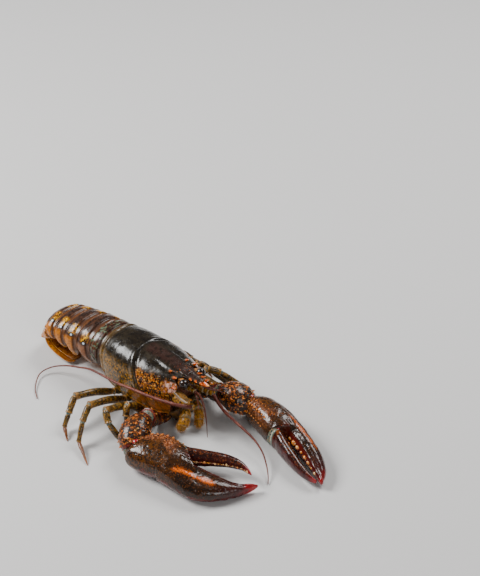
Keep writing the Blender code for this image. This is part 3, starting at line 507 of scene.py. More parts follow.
def arch(half_width, top, middle, bottom, tuck, rise, fall, power=2.2):
    """Points (y, z) from the ridge down one side to the lower margin."""
    a = np.linspace(0, pi / 2, rise + 1)
    high = np.column_stack((half_width * np.sin(a) ** (2 / power),
                            middle + (top - middle) * np.maximum(np.cos(a), 0) ** (2 / power)))
    a = np.linspace(0, pi / 2, fall + 1)[1:]
    low = np.column_stack((half_width * (tuck + (1 - tuck) * np.cos(a)),
                           middle - (middle - bottom) * np.sin(a)))
    return np.vstack((high, low))


def mirrored(half):
    """Full ring from half of one, (x, y, z) from ridge to underside."""
    return np.vstack((half, half[:0:-1] * (1, -1, 1)))


def shell_size(x):
    width, top, bottom = keyed(SHELL_ROWS, x)
    return width, top, max(bottom, 10.0)


def shell_arch(width, top, bottom):
    middle = bottom + SHELL_MIDDLE * (top - bottom)
    return arch(width, top, middle, bottom, MARGIN_TUCK, ARCH_RISE, ARCH_FALL)


def carapace_half(ridge_x):
    """Half ring of the shield, with its thin lower edge turned in."""
    margin_x = keyed(RING_SWEEP, ridge_x)[0]
    _, top, bottom = shell_size(ridge_x)
    half = []
    for i, level in enumerate(shell_arch(1, top, bottom)[:, 1]):
        x = ridge_x + (margin_x - ridge_x) * (top - level) / (top - bottom)
        half.append((x, *shell_arch(*shell_size(x))[i]))
    x, y, z = half[-1]
    half += [(x, y - 0.9, z - 0.05), (x, y - 1.5, z + 0.8), (x, y - 2.4, z + 3.0), (x, 0.45 * y, z + 4.0),
             (x, 0.0, z + 4.0)]
    return np.array(half)


def make_carapace(material):
    ridges = np.concatenate((np.linspace(-41, -37, 12), np.arange(-36.4, 27, 0.62)))
    halves = [carapace_half(x) for x in ridges]
    # Beyond x = 27 each line of the skin runs on to the slanted front edge, notched for the eye
    ends = [carapace_half(x) for x in np.linspace(27.3, 41, 24)]
    line = np.array([halves[-1]] + ends)
    outer = ARCH_RISE + ARCH_FALL + 1
    around = np.concatenate((np.linspace(0, 1, outer), np.ones(5)))
    notch = 5.2 * bump(around, 0.27, 0.085) - 1.0 * bump(around, 0.5, 0.1) + 0.8 * bump(around, 0.7, 0.1)
    front = []
    for j in range(line.shape[1]):
        past = line[:, j, 0] - (CARAPACE_FRONT + (line[:, j, 2] - 44) * 0.177 - notch[j])
        stop = float(np.interp(0.0, past, np.arange(len(line)))) if past[-1] > 0 else len(line) - 1.0
        steps = stop * np.linspace(0, 1, 22)[1:]
        front.append([[np.interp(s, np.arange(len(line)), line[:, j, k]) for k in range(3)] for s in steps])
    front = np.array(front).transpose(1, 0, 2)
    half_grid = np.concatenate((np.array(halves), front))
    rows = len(half_grid)
    ridge = np.concatenate((ridges, np.linspace(27.4, 37, len(front))))[:, None] * np.ones((1, len(around)))
    s = np.ones((rows, 1)) * around[None]
    skin_part = (np.arange(len(around)) < outer)[None] * np.ones((rows, 1))
    deep = rise_to(s, 0.04, 0.2) * (1 - 0.75 * rise_to(s, 0.72, 0.92))
    neck = NECK_GROOVE + 1.6 * np.sin(3.2 * s)
    relief = -GROOVE_DEPTH * (0.35 + 0.65 * deep) * bump(ridge, neck, 1.15)
    relief += 0.55 * bump(ridge, neck - 3.0, 2.2) * deep + 0.35 * bump(ridge, neck + 3.0, 2.0) * deep
    relief -= 0.35 * bump(s, 0, 0.012) * (1 - rise_to(ridge, -12, -8))
    relief += 0.7 * (1 - rise_to(ridge, -39.4, -38.9)) - 0.25 * bump(ridge, -38.2, 0.7)
    relief -= 0.5 * bump(s, 0.93, 0.016)
    relief += 0.4 * rise_to(s, 0.95, 0.98)
    # Gastric swelling ahead of the groove, and the hollow that runs back from the eye
    relief += 0.8 * bump(ridge, 3, 8) * bump(s, 0.42, 0.16)
    relief -= 0.9 * bump(s, 0.16 + 0.002 * (ridge - 10), 0.035) * rise_to(ridge, 2, 14)
    relief -= 0.8 * bump(ridge, 12, 2.2) * rise_to(s, 0.5, 0.62) * (1 - rise_to(s, 0.78, 0.9))
    whole = np.array([mirrored(half) for half in half_grid])
    sides, outer_mask, spread, ridge_all = (
        np.concatenate((rows, rows[:, :0:-1]), axis=1) for rows in (relief * skin_part, skin_part, s, ridge))
    sides += outer_mask * (0.16 * grain(whole, 5.0, 1) + 0.06 * grain(whole, 1.6, 2))
    # Scalloped dimples on the rear half, as under the broad highlight
    sides -= outer_mask * 0.12 * rise_to(grain(whole, 2.4, 5), 0.35, 0.8) * (1 - rise_to(ridge_all, -14, -8))
    whole = whole + outward(whole) * sides[..., None]
    # The front rim turns in and back to a shallow face behind the feelers
    middle = whole[-1].mean(axis=0)
    rims = [whole[-1] + (middle - whole[-1]) * pull - (back, 0, 0)
            for pull, back in ((0.02, -0.25), (0.05, 0.1), (0.07, 1.2), (0.3, 2.0), (0.75, 2.4))]
    grid = np.concatenate((whole, rims))
    mark = np.stack(((ridge_all + 41) / 78, spread, np.zeros_like(spread)), axis=2)
    dense = rise_to(ridge_all, -8.5, -4.0) * (1 - 0.6 * rise_to(ridge_all, 26, 34))
    dense *= rise_to(spread + 0.05 * grain(whole, 4.0, 6), 0.3, 0.5)
    dense *= 1 - rise_to(spread + 0.03 * grain(whole, 5.0, 7), 0.74, 0.84)
    # The second tone mark is painted shade: it is strongest where the neck groove is cut deepest
    tone = np.stack((dense, bump(sides / GROOVE_DEPTH, -1, 0.55) * outer_mask, 1 - outer_mask), axis=2)
    mark = np.concatenate((mark, np.tile(mark[-1:], (len(rims), 1, 1))))
    tone = np.concatenate((tone, np.tile((0, 0, 1.0), (len(rims), tone.shape[1], 1))))
    skin = Skin()
    skin.patch(grid, mark, tone)
    beak = []
    for x, half_width, top, bottom in BEAK_ROWS:
        middle_z = (top + bottom) / 2
        dish = 0.24 * (top - bottom)
        half = ((x, 0, top - dish), (x, 0.3 * half_width, top - 0.6 * dish), (x, 0.66 * half_width, top),
                (x, 0.92 * half_width, top - 0.25 * (top - middle_z)), (x, half_width, middle_z),
                (x, 0.7 * half_width, bottom + 0.3), (x, 0.3 * half_width, bottom), (x, 0, bottom))
        beak.append(np.vstack((half, [(x, -y, z) for x, y, z in half[-2:0:-1]])))
    beak = through(beak, 60)
    closed = np.concatenate((beak, beak[:, :1]), axis=1).transpose(1, 0, 2)
    beak = through(closed, 57)[:-1].transpose(1, 0, 2)
    beak = beak + outward(beak) * (0.05 * grain(beak, 1.2, 3))[..., None]
    beak_mark = np.zeros(beak.shape)
    beak_mark[..., 0] = 0.9
    beak_mark[..., 2] = rise_to(beak[..., 0], 47, 57)
    skin.patch(beak, beak_mark)
    for side, _ in SIDES:
        for step in range(3):
            root = (41.5 + 4.6 * step, side * (3.9 - 0.85 * step), 43.5)
            skin.thorn(root, (0.8, side * 0.5, 0.3), 1.0, 3.5, (0.5, 0, 0.5))
        skin.thorn((31.0, side * 10.5, 42.6), (0.75, side * 0.2, 0.55), 1.25, 4.4, (0.8, 0, 0.2))
        skin.thorn((25.0, side * 8.5, 44.4), (0.75, side * 0.1, 0.6), 1.0, 3.2, (0.5, 0, 0))
        skin.thorn((33.0, side * 14.2, 37.0), (0.9, side * 0.3, 0.15), 1.2, 3.6, (0.6, -0.3 * side, 0.3))
        skin.thorn((17.0, side * 17.6, 38.0), (0.7, side * 0.4, 0.4), 0.8, 2.0)
        skin.thorn((10.0, side * 19.0, 37.0), (0.7, side * 0.4, 0.4), 0.7, 1.6)
    piece = skin.mesh("carapace_shell", [material])
    rough = (dense * outer_mask * rise_to(ridge_all, 8, 26) * 0.7
             + outer_mask * rise_to(ridge_all, 20, 32) * (1 - rise_to(spread, 0.2, 0.3)) * 0.5
             + outer_mask * bump(spread, 0.975, 0.02) * 0.6)
    granulate(piece, rough.ravel(), 480000.0, 0.14, 0.36, 0.5, 3)
    finish_piece(piece, "carapace")


def back_finish():
    """Black-olive shell with ochre flanks, orange dots ahead of the neck groove and a mauve ridge."""
    made = Finish("carapace_wet", 0.36, 0.32)
    tree = made.tree
    along, around, tip = made.lie[:3]
    dense, groove, inside = made.tone[:3]
    back_part = band(tree, along, 0.44, 0.38)
    flank = made.mul(band(tree, around, 0.4, 0.62), sums(tree, "ADD", made.mul(back_part, 0.75), 0.25))
    low = made.mul(band(tree, around, 0.74, 0.82), band(tree, along, 0.2, 0.4))
    ridge = made.mul(band(tree, around, 0.13, 0.04), made.mottle(3.0, 0.44, 0.12))
    rear = band(tree, along, 0.07, 0.0)
    rear_low = made.mul(band(tree, around, 0.5, 0.75), band(tree, along, 0.2, 0.02))
    front = band(tree, along, 0.42, 0.48)
    cheek = made.mul(band(tree, around, 0.34, 0.4), band(tree, around, 0.62, 0.54))
    cheek = made.mul(band(tree, along, 0.82, 0.9), cheek)
    made.paint((0.011, 0.008, 0.006), (
        (made.mul(made.mottle(6.0, 0.5, 0.2), 0.55), (0.04, 0.028, 0.012)),
        (made.mul(made.mottle(1.3, 0.54, 0.05), 0.8), (0.004, 0.003, 0.003)),
        (made.mul(made.mul(ridge, front), 0.75), (0.04, 0.017, 0.013)),
        (made.mul(flank, made.mottle(3.4, 0.42, 0.15)), (0.12, 0.06, 0.006)),
        (made.mul(made.mul(flank, made.mottle(1.6, 0.49, 0.05)), 0.85), (0.018, 0.013, 0.004)),
        (made.mul(made.dots(1.5, 0.48), made.mul(flank, 0.6)), (0.42, 0.18, 0.008)),
        (made.mul(dense, 0.92), (0.009, 0.005, 0.003)),
        (made.mul(made.dots(1.25, 0.52), dense), (0.56, 0.16, 0.012)),
        (made.mul(made.dots(2.3, 0.34), dense), (0.8, 0.36, 0.06)),
        (made.mul(made.mottle(1.1, 0.52, 0.04), made.mul(dense, 0.75)), (0.008, 0.005, 0.003)),
        (made.mul(low, 0.92), (0.4, 0.11, 0.008)),
        (made.mul(low, made.mottle(4.0, 0.52, 0.1)), (0.16, 0.07, 0.008)),
        (made.mul(low, made.mul(made.mottle(1.4, 0.58, 0.05), 0.7)), (0.04, 0.015, 0.006)),
        (made.mul(rear_low, made.mul(made.mottle(2.4, 0.48, 0.08), 0.8)), (0.16, 0.085, 0.014)),
        (made.mul(rear, 0.5), (0.16, 0.09, 0.03)),
        # Painted shade: darkens the deepest part of the neck groove
        (made.mul(groove, 0.7), (0.004, 0.003, 0.003)),
        (made.mul(cheek, made.mul(made.mottle(3.0, 0.44, 0.1), 0.8)), (0.42, 0.1, 0.006)),
        # Painted highlight: a pale pink sheen over the orange cheek patch behind the eye
        (made.mul(cheek, made.mottle(2.6, 0.52, 0.05)), (0.72, 0.42, 0.34)),
        (band(tree, tip, 0.05, 0.55), (0.55, 0.08, 0.006)),
        (band(tree, tip, 0.75, 1.0), (0.85, 0.32, 0.08)),
        (inside, (0.12, 0.04, 0.02))))
    return made.relief(1.7, 0.8, 0.24, 0.9).uneven_gloss(6.0, 0.17, 0.34).material


def granule_finish():
    """Orange granules with paler tops, as on the front of the shield, the wrists and the hands."""
    made = Finish("granule_orange", 0.38, 0.25)
    made.paint((0.42, 0.07, 0.004), (
        (made.mottle(2.2, 0.53, 0.05), (0.7, 0.2, 0.015)),
        (made.mottle(1.9, 0.48, 0.03), (0.009, 0.005, 0.004)),
        (band(made.tree, made.lie[2], 0.2, 0.9), (0.72, 0.22, 0.03))))
    return made.relief(0.3, 0.3, 0.03).material


GRANULE = granule_finish()
make_carapace(back_finish())

# Tail rings. Six hinged shell rings, each slid under the one ahead, with a side plate on each flank.
# Every ring is one skin with a smooth front facet, a raised band and a flared rear edge.
# Fine bristles fringe the side plates, and the tail curls down and under on the floor.
TAIL_JOINTS = (
    (0.15, 42.6, 0, 29.0, 20.0, 0.0), (12.5, 42.2, 6, 28.0, 20.4, 0.8), (26.5, 40.8, 10, 26.0, 20.6, 2.2),
    (40.0, 38.8, 14, 24.0, 20.4, 3.8), (51.5, 36.4, 22, 21.5, 20.2, 5.2), (62.5, 32.0, 40, 18.5, 19.6, 6.6),
    (70.5, 13.5, 96, 11.0, 16.5, 8.2),
)
TAIL_ROWS = [(k, *joint) for k, joint in enumerate(TAIL_JOINTS)]
PLATE_DROPS = (0.0, 3.0, 4.0, 1.5, -2.0, 0.0)
PLATE_SWEEPS = (0.0, 0.0, 4.4, 3.6, 2.6, 0.0)
TAIL_RISE = 30
PLATE_STEPS = 16


def bristle_form(tree, given, spread, size):
    """A thin tapered hair that leans from the skin's normal, each a little its own way."""
    hair = wire(tree, "GeometryNodeMeshCone", {
        "Vertices": 4, "Radius Top": 0.12, "Radius Bottom": 1.0, "Depth": 1.0}).outputs[0]
    sway = wire(tree, "FunctionNodeRandomValue", {0: (-0.3, -0.3, -0.3), 1: (0.3, 0.3, 0.3), "Seed": 7},
                data_type="FLOAT_VECTOR").outputs[0]
    lean = spread["Normal"]
    for push in (given["Lean"], sway):
        lean = wire(tree, "ShaderNodeVectorMath", {0: lean, 1: push}, operation="ADD").outputs[0]
    turned = wire(tree, "FunctionNodeAlignRotationToVector", {"Vector": lean}, axis="Z").outputs[0]
    thick = given["Thick"]
    return hair, turned, wire(tree, "ShaderNodeCombineXYZ", {0: thick, 1: thick, 2: size}).outputs[0]


BRISTLES = growth_tree("bristles", ("Short", "Long", "Thick", "Lean"), bristle_form)


def fringe(piece, rough, density, short, long, thick, lean, seed, material=None):
    """Grows bristles on a piece, from short to long in millimetres, as thickly as rough says."""
    set_rough(piece, rough)
    return grown(piece, BRISTLES, {
        "Density": density, "Short": short * MM, "Long": long * MM, "Thick": thick * MM, "Lean": lean,
        "Seed": seed, "Material": material or BRISTLE})


def bristle_finish():
    made = Finish("bristle_brown", 0.6, 0.1)
    return made.paint((0.16, 0.085, 0.035), ((made.mottle(1.5, 0.5, 0.1), (0.3, 0.18, 0.08)),)).material


BRISTLE = bristle_finish()


def tail_frame(place):
    """Where a ring of the tail stands: its back, the ways inward and along, and its size."""
    back, height, slope, depth, width, shift = keyed(TAIL_ROWS, place)
    slope = radians(slope)
    origin = np.array((CARAPACE_REAR - back, -shift, height))
    inward = np.array((sin(slope), 0, -cos(slope)))
    return origin, inward, np.array((-cos(slope), 0, -sin(slope))), depth, width


def make_tail_ring(number, material):
    rear_edge = (0.96, 0.98, 1.0, 1.015, 1.02)
    falls = np.concatenate((np.linspace(0.01, 0.3, 10), np.linspace(0.33, 0.94, 26), rear_edge))
    if number == len(PLATE_DROPS) - 1:
        falls = falls[:-3]
    a = np.linspace(0, pi / 2, TAIL_RISE + 1)
    t = np.linspace(0, 1, PLATE_STEPS + 1)[1:]
    grid = []
    mark = []
    tone = []
    for f in falls:
        origin, inward, along_way, depth, width = tail_frame(number + f)
        step = rise_to(f, 0.29, 0.37)
        swell = -0.8 + 1.25 * step + 0.3 * bump(f, 0.62, 0.2) + 0.3 * bump(f, 0.965, 0.03)
        swell -= 0.9 * rise_to(f, 0.995, 1.02) + 0.25 * bump(f, 0.88, 0.03)
        reach = float(np.interp(abs(f - 0.52), (0.04, 0.13, 0.22, 0.3, 0.37, 0.43, 0.49),
                                (1, 0.94, 0.8, 0.6, 0.36, 0.13, 0)))
        fall = 0.86 * depth
        if PLATE_DROPS[number]:
            fall = 0.66 * depth + reach * (0.34 * depth + PLATE_DROPS[number])
        else:
            reach = 0.0
        y = (width + swell) * np.sin(a) ** (2 / 2.1)
        h = -swell + (0.55 * depth + swell) * (1 - np.maximum(np.cos(a), 0) ** (2 / 2.1))
        boss = 0.7 * (1 - min(1.0, (abs(f - 0.52) / 0.4) ** 2)) * np.sin(pi * np.minimum(1, t * 1.1))
        plate_y = width + swell * (1 - 0.6 * t) - 0.055 * width * t ** 2 + boss - 0.4 * bump(t, 0.86, 0.06)
        plate_y = plate_y - 3.6 * (reach * t) ** 2
        plate_h = 0.55 * depth + (fall - 0.55 * depth) * t
        edge_y = plate_y[-1]
        belly = min(fall, 0.8 * depth)
        tail = np.array((
            (edge_y - 0.5, fall + 0.3), (edge_y - 1.1, fall + 0.1), (edge_y - 1.5, (fall + belly) / 2),
            (edge_y - 1.8, belly), (0.72 * width, min(0.93 * depth, belly + 1.2)),
            (0.45 * width, 0.93 * depth), (0.2 * width, 0.95 * depth), (0, 0.95 * depth)))
        ys = np.concatenate((y, plate_y, tail[:, 0]))
        hs = np.concatenate((h, plate_h, tail[:, 1]))
        swept = np.concatenate((np.zeros(len(y)), (reach * t) ** 2,
                                reach ** 2 * np.array((1, 1, 0.6, 0.3, 0, 0, 0, 0))))
        swept *= PLATE_SWEEPS[number]
        half = origin[None] + inward[None] * hs[:, None] + along_way[None] * swept[:, None]
        half[:, 1] += ys
        full = np.vstack((half, half[:0:-1] * (1, -1, 1) - (0, 2 * -origin[1], 0)))
        full[:, 2] = np.maximum(full[:, 2], FLOOR_GAP)
        grid.append(full)
        around = np.concatenate((np.linspace(0, 0.55, len(y)), 0.55 + 0.45 * t, np.ones(len(tail))))
        plate = np.concatenate((np.zeros(len(y)), t, np.ones(len(tail))))
        under = np.concatenate((np.zeros(len(y) + len(t)), np.linspace(0, 1, len(tail)) > 0.25))
        row_mark = np.column_stack((np.full(len(around), f), around, np.full(len(around), number / 6)))
        row_tone = np.column_stack((plate, np.full(len(around), 1 - step), under))
        mark.append(np.vstack((row_mark, row_mark[:0:-1])))
        tone.append(np.vstack((row_tone, row_tone[:0:-1])))
    grid, mark, tone = (np.array(rows) for rows in (grid, mark, tone))
    height =0.14 * grain(grid, 4.0, 7 + number) + 0.05 * grain(grid, 1.3, 9) * (1 - tone[..., 1])
    height -= 0.3 * bump(mark[..., 1], 0.42, 0.02) * (1 - tone[..., 1])
    height *= 1 - tone[..., 2]
    grid = grid + outward(grid) * height[..., None]
    grid[..., 2] = np.maximum(grid[..., 2], FLOOR_GAP)
    skin = Skin()
    skin.patch(grid, mark, tone)
    piece = skin.mesh(f"tail_ring_{number + 1}", [material])
    along, around = mark[..., 0], mark[..., 1]
    plate, under = tone[..., 0], tone[..., 2]
    rim = rise_to(around, 0.95, 0.98) * (around < 0.999) + (plate > 0.9) * (under < 0.5) * 0.5
    rim += 0.25 * bump(along, 0.99, 0.01) * (1 - under)
    fringe(piece, np.clip(rim, 0, 1).ravel(), 1500000.0, 0.5, 1.3, 0.05, (-0.8, 0.0, -0.9), number)
    finish_piece(piece, f"abdomen_{number + 1}")


def tail_finish():
    """Mauve-brown bands with a row of amber blotches, and side plates in orange-brown stripes."""
    made = Finish("tail_wet", 0.34, 0.3)
    tree = made.tree
    along, around, ring = made.lie[:3]
    plate, facet, under = made.tone[:3]
    # The blotches climb towards the ridge from ring to ring, each with a white-blue spot below it
    aside = sums(tree, "MULTIPLY_ADD", ring, 0.36, -0.4)
    aside = sums(tree, "ADD", around, aside)
    not_first = band(tree, ring, 0.05, 0.12)
    front_part = made.mul(band(tree, along, 0.2, 0.28), band(tree, along, 0.74, 0.52))
    flank = made.mul(made.mul(band(tree, sums(tree, "ABSOLUTE", aside), 0.11, 0.06), front_part), not_first)
    low_spot = made.mul(sums(tree, "SUBTRACT", aside, 0.1), 42.0)
    rear_spot = made.mul(sums(tree, "SUBTRACT", along, 0.44), 10.0)
    far = sums(tree, "ADD", made.mul(low_spot, low_spot), made.mul(rear_spot, rear_spot))
    spot = made.mul(band(tree, far, 0.8, 0.35), not_first)
    halo = made.mul(band(tree, far, 3.4, 1.2), not_first)
    crest = band(tree, around, 0.2, 0.02)
    below = made.mul(band(tree, aside, 0.1, 0.2), not_first)
    rear = band(tree, ring, 0.08, 0.36)
    stripe = wire(tree, "ShaderNodeTexNoise", {"Vector": wire(tree, "ShaderNodeCombineXYZ", {
        0: made.mul(along, 9.0), 1: made.mul(around, 2.0), 2: ring}).outputs[0], "Scale": 1.0, "Detail": 3.0})
    made.paint((0.05, 0.022, 0.014), (
        (made.mul(crest, 0.6), (0.024, 0.014, 0.01)),
        (made.mul(made.mottle(3.5, 0.5, 0.1), 0.85), (0.009, 0.005, 0.004)),
        (made.mul(made.mottle(1.6, 0.57, 0.04), 0.6), (0.17, 0.075, 0.045)),
        (made.mul(band(tree, stripe.outputs[0], 0.5, 0.62), 0.5), (0.2, 0.065, 0.014)),
        (made.mul(sums(tree, "SUBTRACT", 1.0, not_first), made.mottle(2.2, 0.57, 0.04)), (0.12, 0.17, 0.1)),
        (made.mul(below, 0.8), (0.2, 0.075, 0.035)),
        (made.mul(below, made.mul(rear, 0.95)), (0.46, 0.145, 0.007)),
        (made.mul(band(tree, plate, 0.3, 0.9), made.mul(rear, 0.85)), (0.68, 0.25, 0.004)),
        (made.mul(below, made.mul(band(tree, along, 0.42, 0.3), 0.75)), (0.05, 0.016, 0.006)),
        (made.mul(made.mottle(1.6, 0.56, 0.05), 0.5), (0.03, 0.011, 0.005)),
        (made.mul(flank, made.mottle(3.6, 0.45, 0.05)), (0.5, 0.18, 0.005)),
        (made.mul(flank, made.mottle(2.4, 0.52, 0.04)), (0.9, 0.44, 0.008)),
        (made.mul(flank, made.mottle(1.5, 0.52, 0.03)), (0.01, 0.007, 0.006)),
        (halo, (0.015, 0.01, 0.009)),
        (spot, (0.55, 0.64, 0.7)),
        (made.mul(facet, 0.6), (0.07, 0.028, 0.014)),
        (made.mul(band(tree, along, 0.93, 0.99), 0.6), (0.26, 0.09, 0.02)),
        (under, (0.42, 0.18, 0.06))))
    return made.relief(1.5, 0.7, 0.2, 0.9).uneven_gloss(5.0, 0.18, 0.36).material


TAIL_SHELL = tail_finish()
for ring_number in range(len(PLATE_DROPS)):
    make_tail_ring(ring_number, TAIL_SHELL)

# Tail fan. A middle blade and two pairs of side blades, thin limy plates on soft hinges.
# They curl on under the body, the middle one outermost, each with ribs fanning from its root
# and a fringe of fine hair round its end.
FAN_ROUTE = (
    (-2.0, 70.7, 15.5), (0.0, 70.5, 13.5), (8.2, 66.8, 6.2), (15.5, 60.5, 2.4), (24.2, 52.0, 0.8),
    (38.2, 38.0, 0.2), (46.2, 30.0, 0.2),
)
TELSON_WIDTHS = ((0.0, 9.5), (0.3, 10.0), (0.7, 8.6), (0.9, 7.2), (0.98, 4.6), (1.0, 2.2))
BLADE_WIDTHS = ((0.0, 4.0), (0.12, 5.2), (0.4, 7.0), (0.7, 7.4), (0.88, 7.0), (0.96, 5.6), (1.0, 3.4))


def fan_spot(way):
    """Point of the fan's route and the direction inward from it."""
    back, height = keyed(FAN_ROUTE, way)
    (near_back, near_height), (far_back, far_height) = (keyed(FAN_ROUTE, way + step) for step in (-0.5, 0.5))
    inward = np.array((near_height - far_height, 0, near_back - far_back))
    return np.array((CARAPACE_REAR - back, 0, height)), inward / np.linalg.norm(inward)


def make_blade(node, aside, heading, length, widths, low, thick, material, ribs):
    middle_y = tail_frame(6)[0][1] + aside
    turns = np.linspace(0, 2 * pi, 64, endpoint=False)
    grid = []
    mark = []
    for t in np.concatenate((np.linspace(0.015, 0.9, 40), np.linspace(0.92, 0.995, 9))):
        width = keyed(widths, t)[0]
        u = np.cos(turns)
        v = np.sin(turns)
        edge = np.sign(v) * np.abs(v) ** 0.8
        rise = low + 0.5 * thick + 0.5 * thick * edge * (1 - 0.45 * t)
        upper = np.maximum(v, 0)
        rise += upper * (0.35 * thick * (1 - u ** 2) + 0.13 * np.cos(ribs * u * pi) * rise_to(t, 0.08, 0.3)
                         * (1 - 0.7 * rise_to(t, 0.85, 1)))
        rise -= np.minimum(v, 0) * 0.16 * np.cos(ribs * u * pi) * rise_to(t, 0.08, 0.3)
        if ribs > 8:
            rise -= upper * 0.3 * bump(t, 0.72 + 0.05 * np.cos(3 * u), 0.012)
        centre, inward = fan_spot(length * t - 1.0)
        centre[1] = middle_y + sin(radians(heading)) * length * t
        row = centre[None] + inward[None] * rise[:, None]
        row[:, 1] += u * width
        row[:, 2] = np.maximum(row[:, 2], FLOOR_GAP)
        grid.append(row)
        mark.append(np.column_stack((np.full(64, t), np.abs(u), v * 0.5 + 0.5)))
    skin = Skin()
    mark = np.array(mark)
    skin.patch(np.array(grid), mark)
    piece = skin.mesh(node.replace("telson", "tail_blade_middle").replace("uropod", "tail_blade"), [material])
    rough = rise_to(mark[..., 0], 0.82, 0.97) * (mark[..., 1] > 0.25)
    fringe(piece, rough.ravel(), 3200000.0, 1.0, 2.0, 0.045, (3.5, 0.0, 0.6), 5)
    finish_piece(piece, node)


def fan_finish():
    made = Finish("fan_amber", 0.34, 0.4)
    tree = made.tree
    along, aside, top = made.lie[:3]
    made.paint((0.34, 0.1, 0.006), (
        (made.mottle(4.0, 0.5, 0.12), (0.56, 0.2, 0.006)),
        (made.mul(band(tree, along, 0.3, 0.9), 0.85), (0.15, 0.035, 0.004)),
        (made.mul(band(tree, aside, 0.62, 0.3), 0.55), (0.12, 0.03, 0.004)),
        (made.mul(made.mottle(1.8, 0.54, 0.05), 0.75), (0.06, 0.018, 0.004)),
        (made.mul(band(tree, aside, 0.9, 1.0), 0.6), (0.6, 0.27, 0.05))))
    return made.relief(0.7, 0.5, 0.07).uneven_gloss(5.0, 0.18, 0.36).material


FAN = fan_finish()
SLIM_WIDTHS = tuple((t, 0.75 * width) for t, width in BLADE_WIDTHS)
make_blade("telson", 0, 0, 38, TELSON_WIDTHS, 0.0, 1.6, FAN, 5)
for side, word in SIDES:
    make_blade(f"uropod_inner_{word}", side * 7.7, side * 0.6, 44, BLADE_WIDTHS, 2.5, 0.9, FAN, 7)
    make_blade(f"uropod_outer_{word}", side * 5.9, side * 0.4, 44, SLIM_WIDTHS, 4.1, 0.9, FAN, 9)

# Breastplate. The narrow plates between the legs, softer and paler than the back.
# One skin with the flat foot that carries the body, crossed by a groove between each pair of legs.
BREAST_TOP = 15.5
BREAST_FOOT = 10.0
FLANK_TOP = 9.7
FEET = ((-41, 6.5, 11.0), (-36, 8.5, 4.0), (-32, BREAST_FOOT, 0.0), (31, BREAST_FOOT, 0.0), (34.5, 7.5, 3.0))
BREAST_GROOVES = (18.8, 7.0, -4.0, -15.0, -26.0, -31.5, -36.5)


def make_breast(material):
    feet = np.array(FEET, dtype=float)
    grid = []
    mark = []
    for x in np.linspace(-41, 34.5, 120):
        foot_width = np.interp(x, feet[:, 0], feet[:, 1])
        foot = np.interp(x, feet[:, 0], feet[:, 2])
        top = min(shell_size(x + aside)[2] for aside in (-2.5, 0, 2.5)) + 0.6
        top_width = foot_width + (BREAST_TOP - BREAST_FOOT) * (top - foot) / FLANK_TOP
        t = np.linspace(0, 1, 12)
        groove = sum(bump(x, place, 0.7) for place in BREAST_GROOVES)
        flank_y = top_width + (foot_width - top_width) * t - 1.3 * groove * np.sin(pi * t)
        flank_z = top + (foot - top) * t ** 1.05
        under = np.linspace(1, 0, 9)[1:]
        under_y = foot_width * under
        under_z = foot + 0.02 + 0.5 * groove * np.sin(pi * under) + 0.6 * bump(under, 0, 0.12) * (foot < 0.1)
        y = np.concatenate((flank_y, under_y))
        half = np.column_stack((np.full(len(y), x), y, np.concatenate((flank_z, under_z))))
        grid.append(np.vstack((half, half[-2::-1] * (1, -1, 1))))
        # The second mark, the groove depth, also serves as painted shade in the breastplate's finish
        mark.append([((x + 41) / 76, groove, 0)])
    skin = Skin()
    skin.patch(np.array(grid), mark)
    piece = skin.mesh("breast_plates", [material])
    finish_piece(piece, "breastplate")


def breast_finish():
    made = Finish("breast_pale", 0.45, 0.3)
    made.paint((0.22, 0.1, 0.02), (
        (made.mottle(4.0, 0.5, 0.12), (0.13, 0.06, 0.014)),
        (made.mul(made.mottle(1.6, 0.55, 0.05), 0.8), (0.03, 0.02, 0.01)),
        (made.mul(made.mottle(8.0, 0.54, 0.06), 0.35), (0.07, 0.11, 0.09)),
        # Painted shade: darkens the grooves between the leg pairs
        (made.mul(made.lie[1], 0.8), (0.03, 0.014, 0.008))))
    return made.relief(1.4, 0.8, 0.3, 0.8).uneven_gloss(5.0, 0.24, 0.45).material


make_breast(breast_finish())

# Eyes. Black, faceted and glossy, each on a short orange-brown stalk in the notch beside the beak.
# The globe is one lump with fine facets, held in a rolled collar at the end of its stalk.
EYE_PLACE = (39.8, 8.9, 40.4)
EYE_RADIUS = 3.85
END_ROUNDING = ((0.45, 0.93), (0.8, 0.72), (1.0, 0.38))


